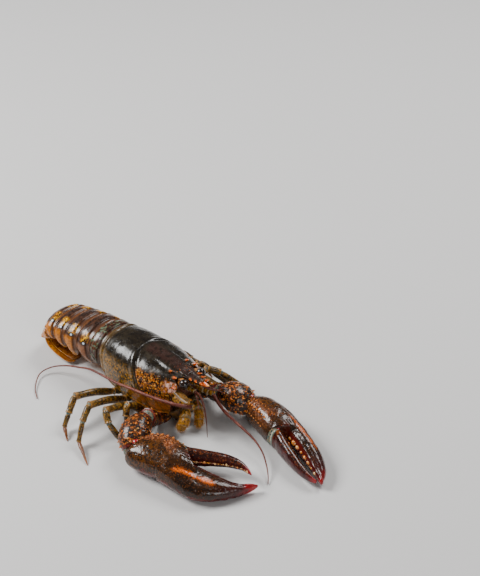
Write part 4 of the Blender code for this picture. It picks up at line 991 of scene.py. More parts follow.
def limb(skin, path, girths, side, rows=26, count=22, rough=0.0, seed=0, mark_z=0.0, slot=0,
         round_ends=(0.5, 0.5)):
    """Closed skin along a path; girths are its half width and half height at each point of the path."""
    path = np.asarray([tuple(p) for p in path], dtype=float)
    side = np.asarray(tuple(side), dtype=float)
    steps = np.concatenate(((0,), np.cumsum(np.linalg.norm(np.diff(path, axis=0), axis=1))))
    table = np.column_stack((steps / steps[-1], path, np.asarray(girths, dtype=float)))
    ts = 0.5 - 0.5 * np.cos(np.linspace(0, pi, rows)) if len(path) < 4 else np.linspace(0, 1, rows)
    found = np.array([keyed(table, t) for t in ts])
    ways = np.gradient(found[:, :3], axis=0)
    ways /= np.linalg.norm(ways, axis=1, keepdims=True)
    level = side - ways * (ways @ side)[:, None]
    level /= np.linalg.norm(level, axis=1, keepdims=True)
    found = np.column_stack((found, level, np.cross(ways, level)))
    ends = []
    for end, reach in ((0, -round_ends[0]), (-1, round_ends[1])):
        rings = np.tile(found[end], (len(END_ROUNDING), 1))
        for ring, (push, shrink) in zip(rings, END_ROUNDING):
            ring[:3] += ways[end] * reach * push
            ring[3:5] *= shrink
        ends.append(rings)
    found = np.concatenate((ends[0][::-1], found, ends[1]))
    u, v = rounded(circle(count))
    grid = found[:, None, :3] + found[:, None, 5:8] * (found[:, 3:4] * u)[..., None]
    grid += found[:, None, 8:] * (found[:, 4:5] * v)[..., None]
    if rough:
        uneven = 0.7 * grain(grid, 1.6, seed) + 0.5 * grain(grid, 0.8, seed + 1)
        grid = grid + outward(grid) * (rough * uneven)[..., None]
    grid[..., 2] = np.maximum(grid[..., 2], FLOOR_GAP)
    mark = np.zeros(grid.shape)
    mark[..., 0] = np.clip((np.arange(len(grid)) - len(END_ROUNDING)) / (rows - 1), 0, 1)[:, None]
    mark[..., 1] = np.arange(count) / count
    mark[..., 2] = mark_z
    skin.patch(grid, mark, slot=slot)


def make_eye(side, word, materials):
    x, y, z = EYE_PLACE
    centre = np.array((x, side * y, z))
    skin = Skin()
    skin.lump(centre, (EYE_RADIUS * 0.97, EYE_RADIUS * 0.94, EYE_RADIUS), slot=0, rows=36, cols=48)
    inner = centre + (-7.0, -side * 2.6, -2.0)
    limb(skin, (inner, centre + (-4.2, -side * 1.6, -0.9), centre + (-2.0, -side * 0.9, -0.5)),
         ((2.3, 2.3), (2.9, 2.9), (3.5, 3.5)), (0, 0, 1), slot=1, rough=0.1)
    piece = skin.mesh(f"eye_globe_{word}", materials)
    finish_piece(piece, f"eye_{word}")


def eye_finish():
    made = Finish("eye_gloss", 0.12, 0.8)
    made.paint((0.006, 0.005, 0.005), (
        (made.mul(made.mottle(2.0, 0.56, 0.06), 0.5), (0.06, 0.022, 0.006)),))
    return made.relief(0.28, 0.9, 0.02, 0.5).material


def stalk_finish():
    made = Finish("stalk_brown", 0.36, 0.4)
    made.paint((0.26, 0.09, 0.02), (
        (made.mottle(1.5, 0.5, 0.06), (0.58, 0.24, 0.05)),
        (made.mottle(1.1, 0.56, 0.04), (0.02, 0.012, 0.008))))
    return made.relief(0.5, 0.5, 0.06).material


EYE = eye_finish()
STALK = stalk_finish()
for side, word in SIDES:
    make_eye(side, word, [EYE, STALK])

# Long feelers. Each stands on three knobbly joints with a leaf-shaped scale beside them.
# The whip is hundreds of short horny rings that shrink to a hair at the tip, grown along its route
# by a geometry tree; the near one sweeps back along the flank and the far one runs ahead.
FEELER_RIGHT = (
    (50.5, -13.2, 27.5), (50.0, -18.0, 31.0), (44.0, -24.0, 33.5), (25.0, -29.0, 32.5), (5.0, -30.5, 29.5),
    (-12.0, -31.5, 26.5), (-38.0, -31.5, 23.0), (-55.0, -31.5, 16.0), (-69.0, -32.5, 10.0),
    (-80.0, -38.0, 5.5), (-83.0, -48.0, 2.8), (-74.0, -60.0, 1.4), (-64.0, -66.5, 0.9),
)
FEELER_LEFT = (
    (51.0, 10.5, 24.5), (56.0, 9.5, 21.5), (64.0, 8.5, 17.5), (76.0, 7.6, 15.0), (88.0, 6.8, 13.0),
    (98.0, 5.6, 11.0), (108.0, 2.6, 8.0), (117.0, -3.0, 5.0), (123.0, -8.0, 2.8), (127.5, -13.0, 1.0),
)


def make_whip_tree():
    """Geometry tree that turns a line into a whip of rings, thick at its start and fine at its end."""
    tree, given, put = geometry_tree("whip", ("Root", "Tip", "Rings", "Ripple", "Count"))
    line = wire(tree, "GeometryNodeMeshToCurve", {0: given["Geometry"]}).outputs[0]
    even = wire(tree, "GeometryNodeResampleCurve", {"Curve": line, "Count": given["Count"]}).outputs[0]
    part = wire(tree, "GeometryNodeSplineParameter", {}).outputs["Factor"]
    eased = sums(tree, "POWER", part, 0.8)
    taper = wire(tree, "ShaderNodeMapRange", {"Value": eased, 1: 0.0, 2: 1.0, 3: given["Root"], 4: given["Tip"]})
    saw = sums(tree, "FRACT", sums(tree, "MULTIPLY", part, given["Rings"]))
    flare = sums(tree, "MULTIPLY_ADD", saw, given["Ripple"], 0.93)
    radius = sums(tree, "MULTIPLY", taper.outputs[0], flare)
    sized = wire(tree, "GeometryNodeSetCurveRadius", {"Curve": even, "Radius": radius}).outputs[0]
    ring = wire(tree, "GeometryNodeCurvePrimitiveCircle", {"Resolution": 10, "Radius": 1.0}).outputs[0]
    tube = wire(tree, "GeometryNodeCurveToMesh", {
        "Curve": sized, "Profile Curve": ring, "Scale": radius, "Fill Caps": True})
    smooth = wire(tree, "GeometryNodeSetShadeSmooth", {"Geometry": tube.outputs[0]})
    dressed = wire(tree, "GeometryNodeSetMaterial", {"Geometry": smooth.outputs[0], "Material": given["Material"]})
    real = wire(tree, "GeometryNodeRealizeInstances", {0: dressed.outputs[0]})
    tree.links.new(real.outputs[0], put["Geometry"])
    return tree


WHIP = make_whip_tree()


def make_whip(name, route, root, tip, rings, material):
    """Whip object along a smooth route in millimetres."""
    table = [(k, *point) for k, point in enumerate(route)]
    line = [keyed(table, t) * MM for t in np.linspace(0, len(route) - 1, 120)]
    data = bpy.data.meshes.new(name)
    data.from_pydata(line, [(i, i + 1) for i in range(len(line) - 1)], [])
    data.materials.append(material)
    piece = bpy.data.objects.new(name, data)
    bpy.context.collection.objects.link(piece)
    return grown(piece, WHIP, {"Root": root * MM, "Tip": tip * MM, "Rings": float(rings), "Ripple": 0.16,
                               "Count": rings * 4 + 1, "Material": material})


def joined(name, pieces):
    """One object from several, with all their materials."""
    bpy.ops.object.select_all(action="DESELECT")
    for piece in pieces:
        piece.select_set(True)
    bpy.context.view_layer.objects.active = pieces[0]
    bpy.ops.object.join()
    pieces[0].name = name
    pieces[0].select_set(False)
    return pieces[0]


def make_antenna(side, word, shell, scale, whip):
    route = FEELER_RIGHT if side == RIGHT else FEELER_LEFT
    tip = np.array(route[0])
    root = np.array((34.0, side * 11.5, 27.0))
    aim = np.array(route[1]) - tip
    aim /= np.linalg.norm(aim)
    at = [root + (tip - root) * t for t in (0.0, 0.3, 0.52, 0.56, 0.76, 0.8)]
    skin = Skin()
    limb(skin, at[:3], ((4.2, 4.4), (4.5, 4.8), (4.2, 4.4)), (0, 0, 1), rough=0.22, seed=4, count=30)
    limb(skin, (at[3] - aim * 0.4, at[4]), ((3.2, 3.2), (3.5, 3.5)), (0, 0, 1), rough=0.16, seed=5, count=26)
    limb(skin, (at[5] - aim * 0.6, tip - aim * 1.6, tip - aim * 0.4), ((2.4, 2.4), (2.5, 2.5), (2.0, 2.0)),
         (0, 0, 1), rough=0.1, seed=6)
    skin.thorn((42.0, side * 15.0, 27.0), (0.8, side * 0.6, 0), 1.2, 4.0, (0.5, 0, 0.4))
    skin.thorn((44.5, side * 13.2, 31.0), (0.7, side * 0.3, 0.6), 0.9, 2.4)
    skin.thorn((46.5, side * 9.6, 29.6), (0.9, -side * 0.2, 0.3), 0.8, 2.0)
    skin.thorn((40.0, side * 12.4, 22.4), (0.7, side * 0.2, -0.4), 0.9, 2.2)
    piece = skin.mesh(f"feeler_base_{word}", [shell])
    granulate(piece, np.full(skin.count, 0.45), 900000.0, 0.12, 0.3, 0.6, 8)
    finish_piece(piece, f"antenna_base_{word}")
    blade = Skin()
    turns = circle(28)
    rings = []
    for x, inner, outer, thick in ((33, 12.0, 15.5, 1.2), (39, 11.8, 16.4, 1.3), (44, 11.6, 17.0, 1.2),
                                   (48, 12.4, 16.8, 1.0), (51, 14.2, 16.4, 0.8), (52.8, 15.5, 16.1, 0.5)):
        y = (inner + outer) / 2 + (outer - inner) / 2 * np.cos(turns)
        z = 34.4 - 0.06 * (x - 34) - 0.35 * (y - inner) + thick / 2 * np.sin(turns)
        z += 0.35 * bump((y - inner) / (outer - inner), 0.72, 0.12) * (np.sin(turns) > 0)
        rings.append(np.column_stack((np.full(len(turns), x), side * y, z)))
    grid = through(rings, 44)
    mark = np.zeros(grid.shape)
    mark[..., 0] = np.linspace(0, 1, len(grid))[:, None]
    mark[..., 1] = np.abs(np.cos(turns))
    blade.patch(grid, mark)
    piece = blade.mesh(f"feeler_scale_{word}", [scale])
    inner_edge = rise_to(mark[..., 1], 0.9, 0.98) * (side * grid[..., 1] < 14.0)
    fringe(piece, inner_edge.ravel(), 4000000.0, 1.0, 2.2, 0.045, (1.0, -side * 1.2, -0.2), 3)
    finish_piece(piece, f"antenna_scale_{word}")
    long_whip = make_whip(f"feeler_{word}", [tip - aim * 0.6, *route], 1.5, 0.36, 230, whip)
    finish_piece(long_whip, f"antenna_{word}")


def feeler_finish():
    made = Finish("feeler_rosy", 0.4, 0.2)
    made.paint((0.12, 0.026, 0.016), (
        (made.mul(made.mottle(5.0, 0.52, 0.1), 0.7), (0.24, 0.07, 0.045)),
        (made.mul(made.mottle(1.2, 0.56, 0.05), 0.6), (0.04, 0.01, 0.008))))
    return made.relief(0.35, 0.4, 0.03).material


def base_finish():
    """Knobbly olive and amber shell of the feeler joints and the mouth."""
    made = Finish("joint_amber", 0.36, 0.3)
    made.paint((0.11, 0.06, 0.01), (
        (made.mottle(3.0, 0.48, 0.08), (0.46, 0.2, 0.014)),
        (made.mul(made.mottle(1.5, 0.53, 0.04), 0.9), (0.014, 0.009, 0.005)),
        (made.mul(made.dots(1.7, 0.42), 0.7), (0.62, 0.28, 0.03)),
        (made.mul(band(made.tree, made.lie[0], 0.88, 1.0), 0.5), (0.24, 0.27, 0.2)),
        (band(made.tree, made.lie[2], 0.1, 0.6), (0.66, 0.18, 0.015))))
    return made.relief(1.0, 0.6, 0.16).uneven_gloss(4.0, 0.26, 0.45).material


def scale_finish():
    made = Finish("scale_amber", 0.34, 0.3)
    made.paint((0.12, 0.06, 0.014), (
        (made.mottle(2.6, 0.52, 0.08), (0.3, 0.13, 0.02)),
        (made.mul(made.mottle(1.3, 0.54, 0.04), 0.85), (0.015, 0.01, 0.006)),
        (made.mul(band(made.tree, made.lie[1], 0.93, 1.0), 0.9), (0.66, 0.28, 0.012))))
    return made.relief(0.5, 0.4, 0.05).material


WHIP_SHELL = feeler_finish()
JOINT_SHELL = base_finish()
SCALE_SHELL = scale_finish()
for side, word in SIDES:
    make_antenna(side, word, JOINT_SHELL, SCALE_SHELL, WHIP_SHELL)

# Small feelers. Below the beak each side has a short jointed stem that forks into two fine whips.
# The near pair hangs down in front of the mouth and the far pair stands out to the left.


def make_antennule(side, word):
    root = np.array((34.5, side * 3.6, 33.5))
    tip = np.array((46.0, side * 4.2, 34.5))
    skin = Skin()
    for start, end, thick in ((0.0, 0.45, 2.3), (0.47, 0.72, 1.9), (0.74, 1.0, 1.6)):
        a = root + (tip - root) * start
        b = root + (tip - root) * end
        girths = [(thick * share, thick) for share in (0.9, 1.0, 0.95)]
        limb(skin, (a, (a + b) / 2, b), girths, (0, 1, 0), rows=14, rough=0.06, round_ends=(0.3, 0.3))
    if side == RIGHT:
        upper = ((50.5, -3.6, 33.0), (55.0, -4.2, 27.0), (58.5, -5.6, 19.0), (61.0, -7.2, 11.0),
                 (63.0, -8.8, 2.0))
        lower = ((50.0, -6.0, 32.0), (54.0, -8.5, 28.5), (57.0, -11.0, 26.0))
    else:
        upper = ((51.0, 5.2, 35.5), (58.0, 7.2, 35.5), (64.0, 9.6, 33.5))
        lower = ((50.0, 6.4, 32.5), (54.5, 9.8, 31.5), (57.5, 14.0, 32.5))
    stem = skin.mesh(f"small_feeler_stem_{word}", [JOINT_SHELL])
    start = tuple(tip - (1.2, 0, 0))
    pieces = [stem, make_whip("upper_whip", (start, *upper), 0.85, 0.22, 90, WHIP_SHELL),
              make_whip("lower_whip", (start, *lower), 0.8, 0.24, 48, WHIP_SHELL)]
    finish_piece(joined(f"small_feeler_{word}", pieces), f"antennule_{word}")


for side, word in SIDES:
    make_antennule(side, word)

# Outer mouthparts. A pair of leg-like limbs folded down before the mouth, amber and densely hairy.
# Each is four joints, with a comb of bristles along its inner side.


def make_mouthpart(side, word):
    points = ((34.6, 4.2, 8.6), (39.0, 4.0, 12.0), (45.0, 0.5, 12.0), (49.0, -3.0, 7.5), (50.5, -5.5, 2.6))
    if side == RIGHT:
        points = ((34.6, -4.2, 8.6), (39.0, -7.0, 11.5), (43.5, -12.0, 11.0), (44.5, -15.5, 7.0),
                  (41.5, -18.0, 3.2))
    points = np.array(points)
    sizes = np.array(((2.8, 3.0), (3.3, 3.9), (3.2, 3.9), (2.7, 3.4), (1.4, 1.8)))
    skin = Skin()
    rough = []
    for k in range(4):
        a = points[k] + (points[k + 1] - points[k]) * 0.04
        b = points[k] + (points[k + 1] - points[k]) * 0.97
        before = skin.count
        limb(skin, (a, (a + b) / 2, b), (sizes[k] * 0.9, sizes[k], sizes[k + 1] * 1.04), (0, 1, 0), rough=0.14,
             seed=k, count=24, round_ends=(0.5, 0.8))
        rough.append(np.full(skin.count - before, 0.25 + 0.25 * k))
    piece = skin.mesh(f"mouthpart_{word}", [JOINT_SHELL])
    fringe(piece, np.concatenate(rough), 2600000.0, 1.0, 2.6, 0.07, (0.2, -0.2, -1.0), 12, MOUTH_HAIR)
    finish_piece(piece, f"maxilliped_{word}")


def mouth_hair_finish():
    made = Finish("mouth_hair", 0.55, 0.1)
    return made.paint((0.4, 0.15, 0.012), ((made.mottle(1.5, 0.5, 0.1), (0.62, 0.28, 0.025)),)).material


MOUTH_HAIR = mouth_hair_finish()
for side, word in SIDES:
    make_mouthpart(side, word)

# Walking legs. Four pairs of thin jointed legs, olive to ochre with dark spots and pale joint skins.
# Every segment is a shell of its own, narrow at its root and flared at its end over the next.
# The first two pairs end in small pincers and the last two in a point, with short hair near the tips.
UP = np.array((0.0, 0.0, 1.0))
FLANK_OUT = np.array((0.0, FLANK_TOP, BREAST_FOOT - BREAST_TOP))
FLANK_OUT = FLANK_OUT / np.linalg.norm(FLANK_OUT)
LEGS = {
    ("right", 2): (12.5, (9.0, -39.0, 20.5), (12.0, -43.0, 14.5), (16.0, -44.0, 6.0), (18.0, -43.0, 0.3), True),
    ("right", 3): (1.5, (4.5, -56.0, 24.0), (11.0, -59.5, 18.0), (18.5, -57.5, 8.0), (22.5, -55.0, 0.3), True),
    ("right", 4): (-9.5, (-9.0, -60.0, 23.5), (-5.5, -70.0, 16.5), (-1.0, -79.0, 5.0), (18.5, -88.0, 0.3), False),
    ("right", 5): (-20.5, (-26.5, -59.0, 21.0), (-22.5, -69.0, 13.5), (-21.0, -75.5, 5.0), (-11.5, -81.3, 0.3),
                   False),
    ("left", 2): (12.5, (26.0, 30.0, 23.0), (33.0, 36.5, 19.5), (43.0, 43.0, 11.0), (55.0, 51.5, 0.3), True),
    ("left", 3): (1.5, (14.0, 33.0, 20.0), (22.0, 38.0, 14.0), (31.0, 43.0, 7.0), (38.0, 46.0, 0.3), True),
    ("left", 4): (-9.5, (-8.0, 35.0, 17.0), (-1.0, 39.0, 12.0), (9.0, 43.0, 6.0), (17.0, 44.0, 0.3), False),
    ("left", 5): (-20.5, (-24.0, 34.0, 16.0), (-19.0, 39.0, 11.0), (-11.0, 43.5, 5.0), (-3.0, 44.5, 0.3), False),
}


def unit(vector):
    vector = np.asarray(vector, dtype=float)
    return vector / np.linalg.norm(vector)


def flank(side, x):
    """Point just off the middle of the breastplate's flank, and the way out from it."""
    out = FLANK_OUT * (1, side, 1)
    return np.array((x, side * (BREAST_TOP + BREAST_FOOT) / 2, FLANK_TOP / 2)) + out * 0.3, out


def segment(skin, a, b, start, end, side, bow=0.0, seed=0):
    """One shell of a leg from a to b, narrow at its root and flared at its end."""
    start = np.array(start)
    end = np.array(end)
    middle = (a + b) / 2 + UP * bow
    path = (a + (b - a) * 0.02, a + (middle - a) * 0.25, middle, b + (middle - b) * 0.22, b - (b - a) * 0.01)
    girths = (start * 0.86, start, (start + end) / 2 * 1.04, end * 0.98, end * 1.1)
    limb(skin, path, girths, side, rows=22, count=16, rough=0.09, seed=seed, round_ends=(0.4, 0.35))


def joint_skin(skin, a, b, start, end, side):
    """Soft skin that shows between two shells of a leg."""
    limb(skin, (a, b), (start, end), side, slot=1, rows=6, count=12)


def make_leg(word, number, shell, soft):
    side = RIGHT if word == "right" else LEFT
    x, *joints, pincers = LEGS[word, number]
    knee, wrist, ankle, tip = (np.array(p) for p in joints)
    root, out = flank(side, x)
    coxa = root + (0.02 * (knee[0] - root[0]), side * 4.5, 0)
    hip = np.array((root[0] + 0.22 * (knee[0] - root[0]), side * 25.0, 7.0))
    level = unit(np.cross(knee - root, UP))
    thigh = unit(knee - hip)
    skin = Skin()
    segment(skin, root - out * 0.2, coxa + (0, side * 1.2, 0), (3.3, 3.3), (3.5, 3.3), level, seed=1)
    segment(skin, coxa + (hip - coxa) * 0.2, hip, (2.9, 3.0), (2.6, 2.8), level, 0.3, seed=2)
    segment(skin, hip + thigh * 0.7, knee + thigh * 0.2, (2.5, 2.9), (2.7, 3.0), level, 1.7, seed=3)
    skin.thorn(knee - thigh * 1.6 + UP * 2.5, thigh + UP * 0.4, 0.7, 1.8)
    joint_skin(skin, coxa, coxa + (hip - coxa) * 0.3, (2.7, 2.7), (2.6, 2.7), level)
    joint_skin(skin, hip - thigh * 1.2, hip + thigh * 1.6, (2.1, 2.3), (2.1, 2.3), level)
    joint_skin(skin, knee - thigh * 2.0, knee + thigh * 0.4, (2.2, 2.5), (2.1, 2.4), level)
    piece = skin.mesh(f"leg_{number}_{word}_upper", [shell, soft])
    finish_piece(piece, f"leg_{number}_{word}_thigh")
    reach = unit(np.cross(tip - knee, UP))
    shin = unit(wrist - knee)
    aim = unit(tip - ankle)
    skin = Skin()
    segment(skin, knee, wrist, (2.4, 2.7), (2.6, 3.0), reach, 0.3, seed=4)
    joint_skin(skin, wrist - shin * 1.2, wrist + unit(ankle - wrist) * 1.4, (2.0, 2.4), (1.9, 2.3), reach)
    rough = [np.zeros(skin.count)]
    if pincers:
        palm_end = ankle + (tip - ankle) * 0.25
        path = [wrist + (ankle - wrist) * t for t in (0.04, 0.3, 0.75)] + [ankle, palm_end]
        limb(skin, path, ((1.7, 2.0), (2.1, 2.5), (2.1, 2.7), (2.0, 2.8), (1.7, 2.4)), reach, rows=30, count=18,
             rough=0.08, seed=5)
        rough.append(np.full(skin.count - rough[0].size, 0.12))
        for turn, stretch in ((1, 1.0), (-1, 0.86)):
            aside = np.cross(aim, reach) * turn
            end = ankle + (tip - ankle) * stretch + aside * 0.5
            path = (palm_end - aim * 1.6 + aside * 1.05, palm_end * 0.5 + end * 0.5 + aside * 1.05,
                    palm_end * 0.2 + end * 0.8 + aside * 0.6, end)
            before = skin.count
            limb(skin, path, ((1.15, 0.95), (0.95, 0.75), (0.6, 0.5), (0.25, 0.22)), reach, rows=18, count=12,
                 rough=0.04, seed=6, mark_z=1.0, round_ends=(0.3, 0.2))
            rough.append(np.full(skin.count - before, 1.0))
    else:
        segment(skin, wrist + (ankle - wrist) * 0.05, ankle, (1.9, 2.3), (1.9, 2.2), reach, 0.3, seed=5)
        rough.append(np.full(skin.count - rough[0].size, 0.3))
        before = skin.count
        bend = (ankle + tip) / 2 + UP * 0.6
        path = (ankle + aim * 0.5, ankle + (tip - ankle) * 0.15, bend, bend * 0.4 + tip * 0.6, tip)
        limb(skin, path, ((1.25, 1.5), (1.5, 1.75), (1.1, 1.25), (0.7, 0.8), (0.24, 0.22)), reach, rows=24,
             count=14, rough=0.05, seed=7, mark_z=1.0, round_ends=(0.3, 0.2))
        rough.append(np.full(skin.count - before, 1.0))
        joint_skin(skin, ankle - aim * 0.8, ankle + aim * 1.2, (1.4, 1.7), (1.3, 1.5), reach)
    piece = skin.mesh(f"leg_{number}_{word}_lower", [shell, soft])
    fringe(piece, np.concatenate(rough), 900000.0, 0.5, 1.3, 0.045, tuple(aim * 1.3), 20 + number)
    finish_piece(piece, f"leg_{number}_{word}_shin")


def leg_finish():
    """Olive to ochre shell with dark spots, paler at the joints and red-brown at the tips."""
    made = Finish("leg_wet", 0.36, 0.28)
    tree = made.tree
    along, around, tip = made.lie[:3]
    ends = sums(tree, "MAXIMUM", band(tree, along, 0.1, 0.0), band(tree, along, 0.9, 1.0))
    made.paint((0.2, 0.1, 0.014), (
        (made.mul(made.mottle(6.0, 0.5, 0.12), 0.8), (0.1, 0.07, 0.016)),
        (made.mul(made.mottle(2.2, 0.55, 0.06), 0.8), (0.44, 0.19, 0.02)),
        (made.mul(made.mottle(1.4, 0.55, 0.04), 0.9), (0.02, 0.014, 0.007)),
        (made.mul(made.dots(2.0, 0.5), 0.9), (0.01, 0.008, 0.006)),
        (made.mul(made.dots(2.0, 0.2), 0.7), (0.3, 0.14, 0.02)),
        (made.mul(ends, 0.5), (0.42, 0.2, 0.05)),
        (made.mul(tip, 0.7), (0.17, 0.045, 0.015)),
        (made.mul(tip, made.mul(band(tree, along, 0.6, 1.0), 0.8)), (0.36, 0.11, 0.035))))
    return made.relief(0.6, 0.6, 0.1).uneven_gloss(4.0, 0.28, 0.46).material


def soft_finish():
    """Pale blue-green skin that shows in the gaps of the joints."""
    made = Finish("joint_skin", 0.42, 0.25)
    made.paint((0.13, 0.17, 0.12), (
        (made.mottle(1.8, 0.5, 0.08), (0.035, 0.09, 0.09)),
        (made.mul(made.mottle(1.3, 0.62, 0.04), 0.85), (0.42, 0.48, 0.4)),
        (made.mul(made.mottle(1.1, 0.56, 0.05), 0.8), (0.4, 0.16, 0.04)),
        (made.mul(made.dots(1.6, 0.36), 0.8), (0.015, 0.012, 0.01))))
    return made.relief(0.5, 0.4, 0.08).material


LEG_SHELL = leg_finish()
SOFT_SKIN = soft_finish()
for leg_word, leg_number in LEGS:
    make_leg(leg_word, leg_number, LEG_SHELL, SOFT_SKIN)

# Arms and wrist blocks. Behind each claw a thick arm rises from the flank to a spiny wrist block.
# Shells as thick as the back's, speckled orange on black, with orange spines in rows,
# crimson hinge knobs and blue-green skin where the block meets the hand.
ARM_ROOT = 25.0


class Hand:
    """Claw coordinates: u runs to the tips, v outward from the head and z up from the floor."""

    def __init__(self, side, wrist, heading):
        turn = radians(heading) * side
        self.origin = np.array((*wrist, 0.0))
        self.axes = np.array(((cos(turn), sin(turn), 0), (-sin(turn) * side, cos(turn) * side, 0), (0, 0, 1)))

    def at(self, points):
        return self.origin + self.way(points)

    def way(self, points):
        return np.asarray(points, dtype=float) @ self.axes


RIGHT_HAND = Hand(RIGHT, (42.0, -54.5), -24.0)
LEFT_HAND = Hand(LEFT, (74.0, 30.0), -11.0)


def make_arm(side, word, shoulder, elbow, bend, hand, hand_way, shell, soft, knob_red):
    root, out = flank(side, ARM_ROOT)
    coxa = np.array((ARM_ROOT + 0.2 * (shoulder[0] - ARM_ROOT), side * 19.0, 5.0))
    shoulder, elbow, bend, hand = (np.array(p, dtype=float) for p in (shoulder, elbow, bend, hand))
    hand_way = unit(hand_way)
    upper_way = unit(elbow - shoulder)
    skin = Skin()
    limb(skin, (root - out * 0.2, (root + coxa) / 2, coxa), ((4.2, 4.2), (4.6, 4.6), (4.5, 4.5)), UP, count=30,
         rough=0.16, seed=1)
    limb(skin, (coxa + unit(shoulder - coxa) * 1.0, (coxa + shoulder) / 2, shoulder),
         ((4.0, 4.0), (4.7, 4.5), (5.1, 4.7)), UP, count=30, rough=0.2, seed=2)
    stop = elbow - upper_way * 0.8
    between = [shoulder + (elbow - shoulder) * t for t in (0.4, 0.8)]
    limb(skin, (shoulder + upper_way * 0.8, *between, stop), ((4.7, 4.3), (6.4, 5.6), (7.5, 6.8), (7.7, 6.9)),
         UP, rows=40, count=40, rough=0.26, seed=3)
    level = unit(np.cross(upper_way, UP))
    lift = np.cross(level, upper_way)
    for across_part in (-0.7, 0.0, 0.7):
        way = level * across_part + lift * 0.7
        place = stop - upper_way * 3.0 + level * across_part * 6.2 + lift * (7.2 - 3.2 * abs(across_part))
        skin.thorn(place - way * 0.8, way + upper_way * 0.7, 1.3, 3.0)
    limb(skin, (stop - upper_way * 2.5, elbow + upper_way * 0.6), ((6.6, 5.9), (6.1, 5.4)), UP, slot=1, rows=8)
    piece = skin.mesh(f"upper_arm_{word}", [shell, soft])
    granulate(piece, np.full(skin.count, 0.3), 500000.0, 0.14, 0.34, 0.5, 30)
    finish_piece(piece, f"arm_{word}")
    # The wrist block's middle line bends from elbow to hand
    path = []
    for t in (0.0, 0.22, 0.45, 0.7, 0.88, 1.0):
        a = elbow + (bend - elbow) * t
        b = bend + (hand - bend) * t
        path.append(a + (b - a) * t)
    girths = ((6.9, 6.3), (9.2, 9.4), (10.7, 11.7), (10.5, 11.9), (9.2, 10.4), (8.2, 9.1))
    path[0] = path[0] + unit(path[1] - path[0]) * 0.7
    path[-1] = path[-1] - hand_way * 0.9
    skin = Skin()
    limb(skin, path, girths, UP, rows=72, count=64, rough=0.34, seed=4, round_ends=(1.0, 0.6))
    plain = skin.count
    for at in (1, 2, 3, 4):
        way_on = unit(path[min(at + 1, 5)] - path[at - 1])
        across_way = unit(np.cross(way_on, UP))
        lift = np.cross(across_way, way_on)
        tall, wide = girths[at]
        for step in range(7):
            turn = radians(-96 + 32 * step + 13 * at)
            out_way = across_way * sin(turn) + lift * cos(turn)
            reach = 1 / sqrt((sin(turn) / wide) ** 2 + (cos(turn) / tall) ** 2)
            large = (1.0, 0.62, 0.85, 0.5)[(step + at) % 4]
            skin.thorn(path[at] + out_way * (reach - 0.3), out_way + way_on * 0.6, 1.0 * large, 2.3 * large,
                       way_on * 0.5)
    limb(skin, (hand - hand_way * 4.0, hand + hand_way * 0.9), ((7.3, 8.2), (6.9, 7.6)), UP, slot=1, rows=8,
         count=40)
    for rise in (1, -1):
        skin.lump(hand + hand_way * 0.6 + UP * rise * 8.3, (3.3, 2.7, 2.2), slot=2, rows=14, cols=22)
        skin.lump(hand + hand_way * 3.0 + UP * rise * 7.8, (2.3, 1.9, 1.8), slot=2, rows=12, cols=18)
    piece = skin.mesh(f"wrist_block_{word}", [shell, soft, knob_red])
    granulate(piece, np.full(plain, 0.2), 420000.0, 0.14, 0.36, 0.6, 31)
    finish_piece(piece, f"wrist_{word}")


def wrist_finish():
    """Black shell with a dense orange speckle, orange spines and a brown-red rim at the hand."""
    made = Finish("wrist_speckled", 0.36, 0.3)
    tree = made.tree
    along, around, tip = made.lie[:3]
    rim = sums(tree, "MAXIMUM", band(tree, along, 0.9, 0.98), band(tree, along, 0.08, 0.0))
    made.paint((0.009, 0.005, 0.004), (
        (made.mul(made.mottle(8.0, 0.54, 0.12), 0.7), (0.09, 0.024, 0.004)),
        (made.mul(made.mottle(2.4, 0.57, 0.04), 0.9), (0.34, 0.08, 0.005)),
        (made.mul(made.dots(1.7, 0.36), 0.95), (0.6, 0.15, 0.01)),
        (made.mul(made.dots(2.9, 0.28), 0.8), (0.74, 0.36, 0.1)),
        (made.mul(made.mottle(1.6, 0.49, 0.05), 0.88), (0.007, 0.004, 0.003)),
        (made.mul(rim, 0.8), (0.12, 0.008, 0.006)),
        (band(tree, tip, 0.05, 0.5), (0.6, 0.15, 0.015)),
        (band(tree, tip, 0.75, 1.0), (0.85, 0.4, 0.12))))
    return made.relief(0.8, 0.6, 0.15).uneven_gloss(5.0, 0.28, 0.46).material


def crimson_finish():
    made = Finish("hinge_crimson", 0.2, 0.8)
    made.paint((0.36, 0.008, 0.012), ((made.mul(made.mottle(1.6, 0.54, 0.06), 0.7), (0.12, 0.006, 0.006)),))
    return made.relief(0.6, 0.4, 0.03).material


WRIST_SHELL = wrist_finish()
CRIMSON = crimson_finish()
make_arm(RIGHT, "right", (26.0, -25.0, 8.5), (28.0, -37.0, 18.0), (29.0, -54.0, 17.0),
         RIGHT_HAND.at((-2.96, 5.4, 11.5)), RIGHT_HAND.way((1, 0.62, 0)), WRIST_SHELL, SOFT_SKIN, CRIMSON)
make_arm(LEFT, "left", (32.0, 23.5, 8.5), (48.0, 21.0, 18.0), (59.0, 25.0, 20.0),
         LEFT_HAND.at((-5.0, 0.3, 12.0)), LEFT_HAND.way((1, 0, 0)), WRIST_SHELL, SOFT_SKIN, CRIMSON)

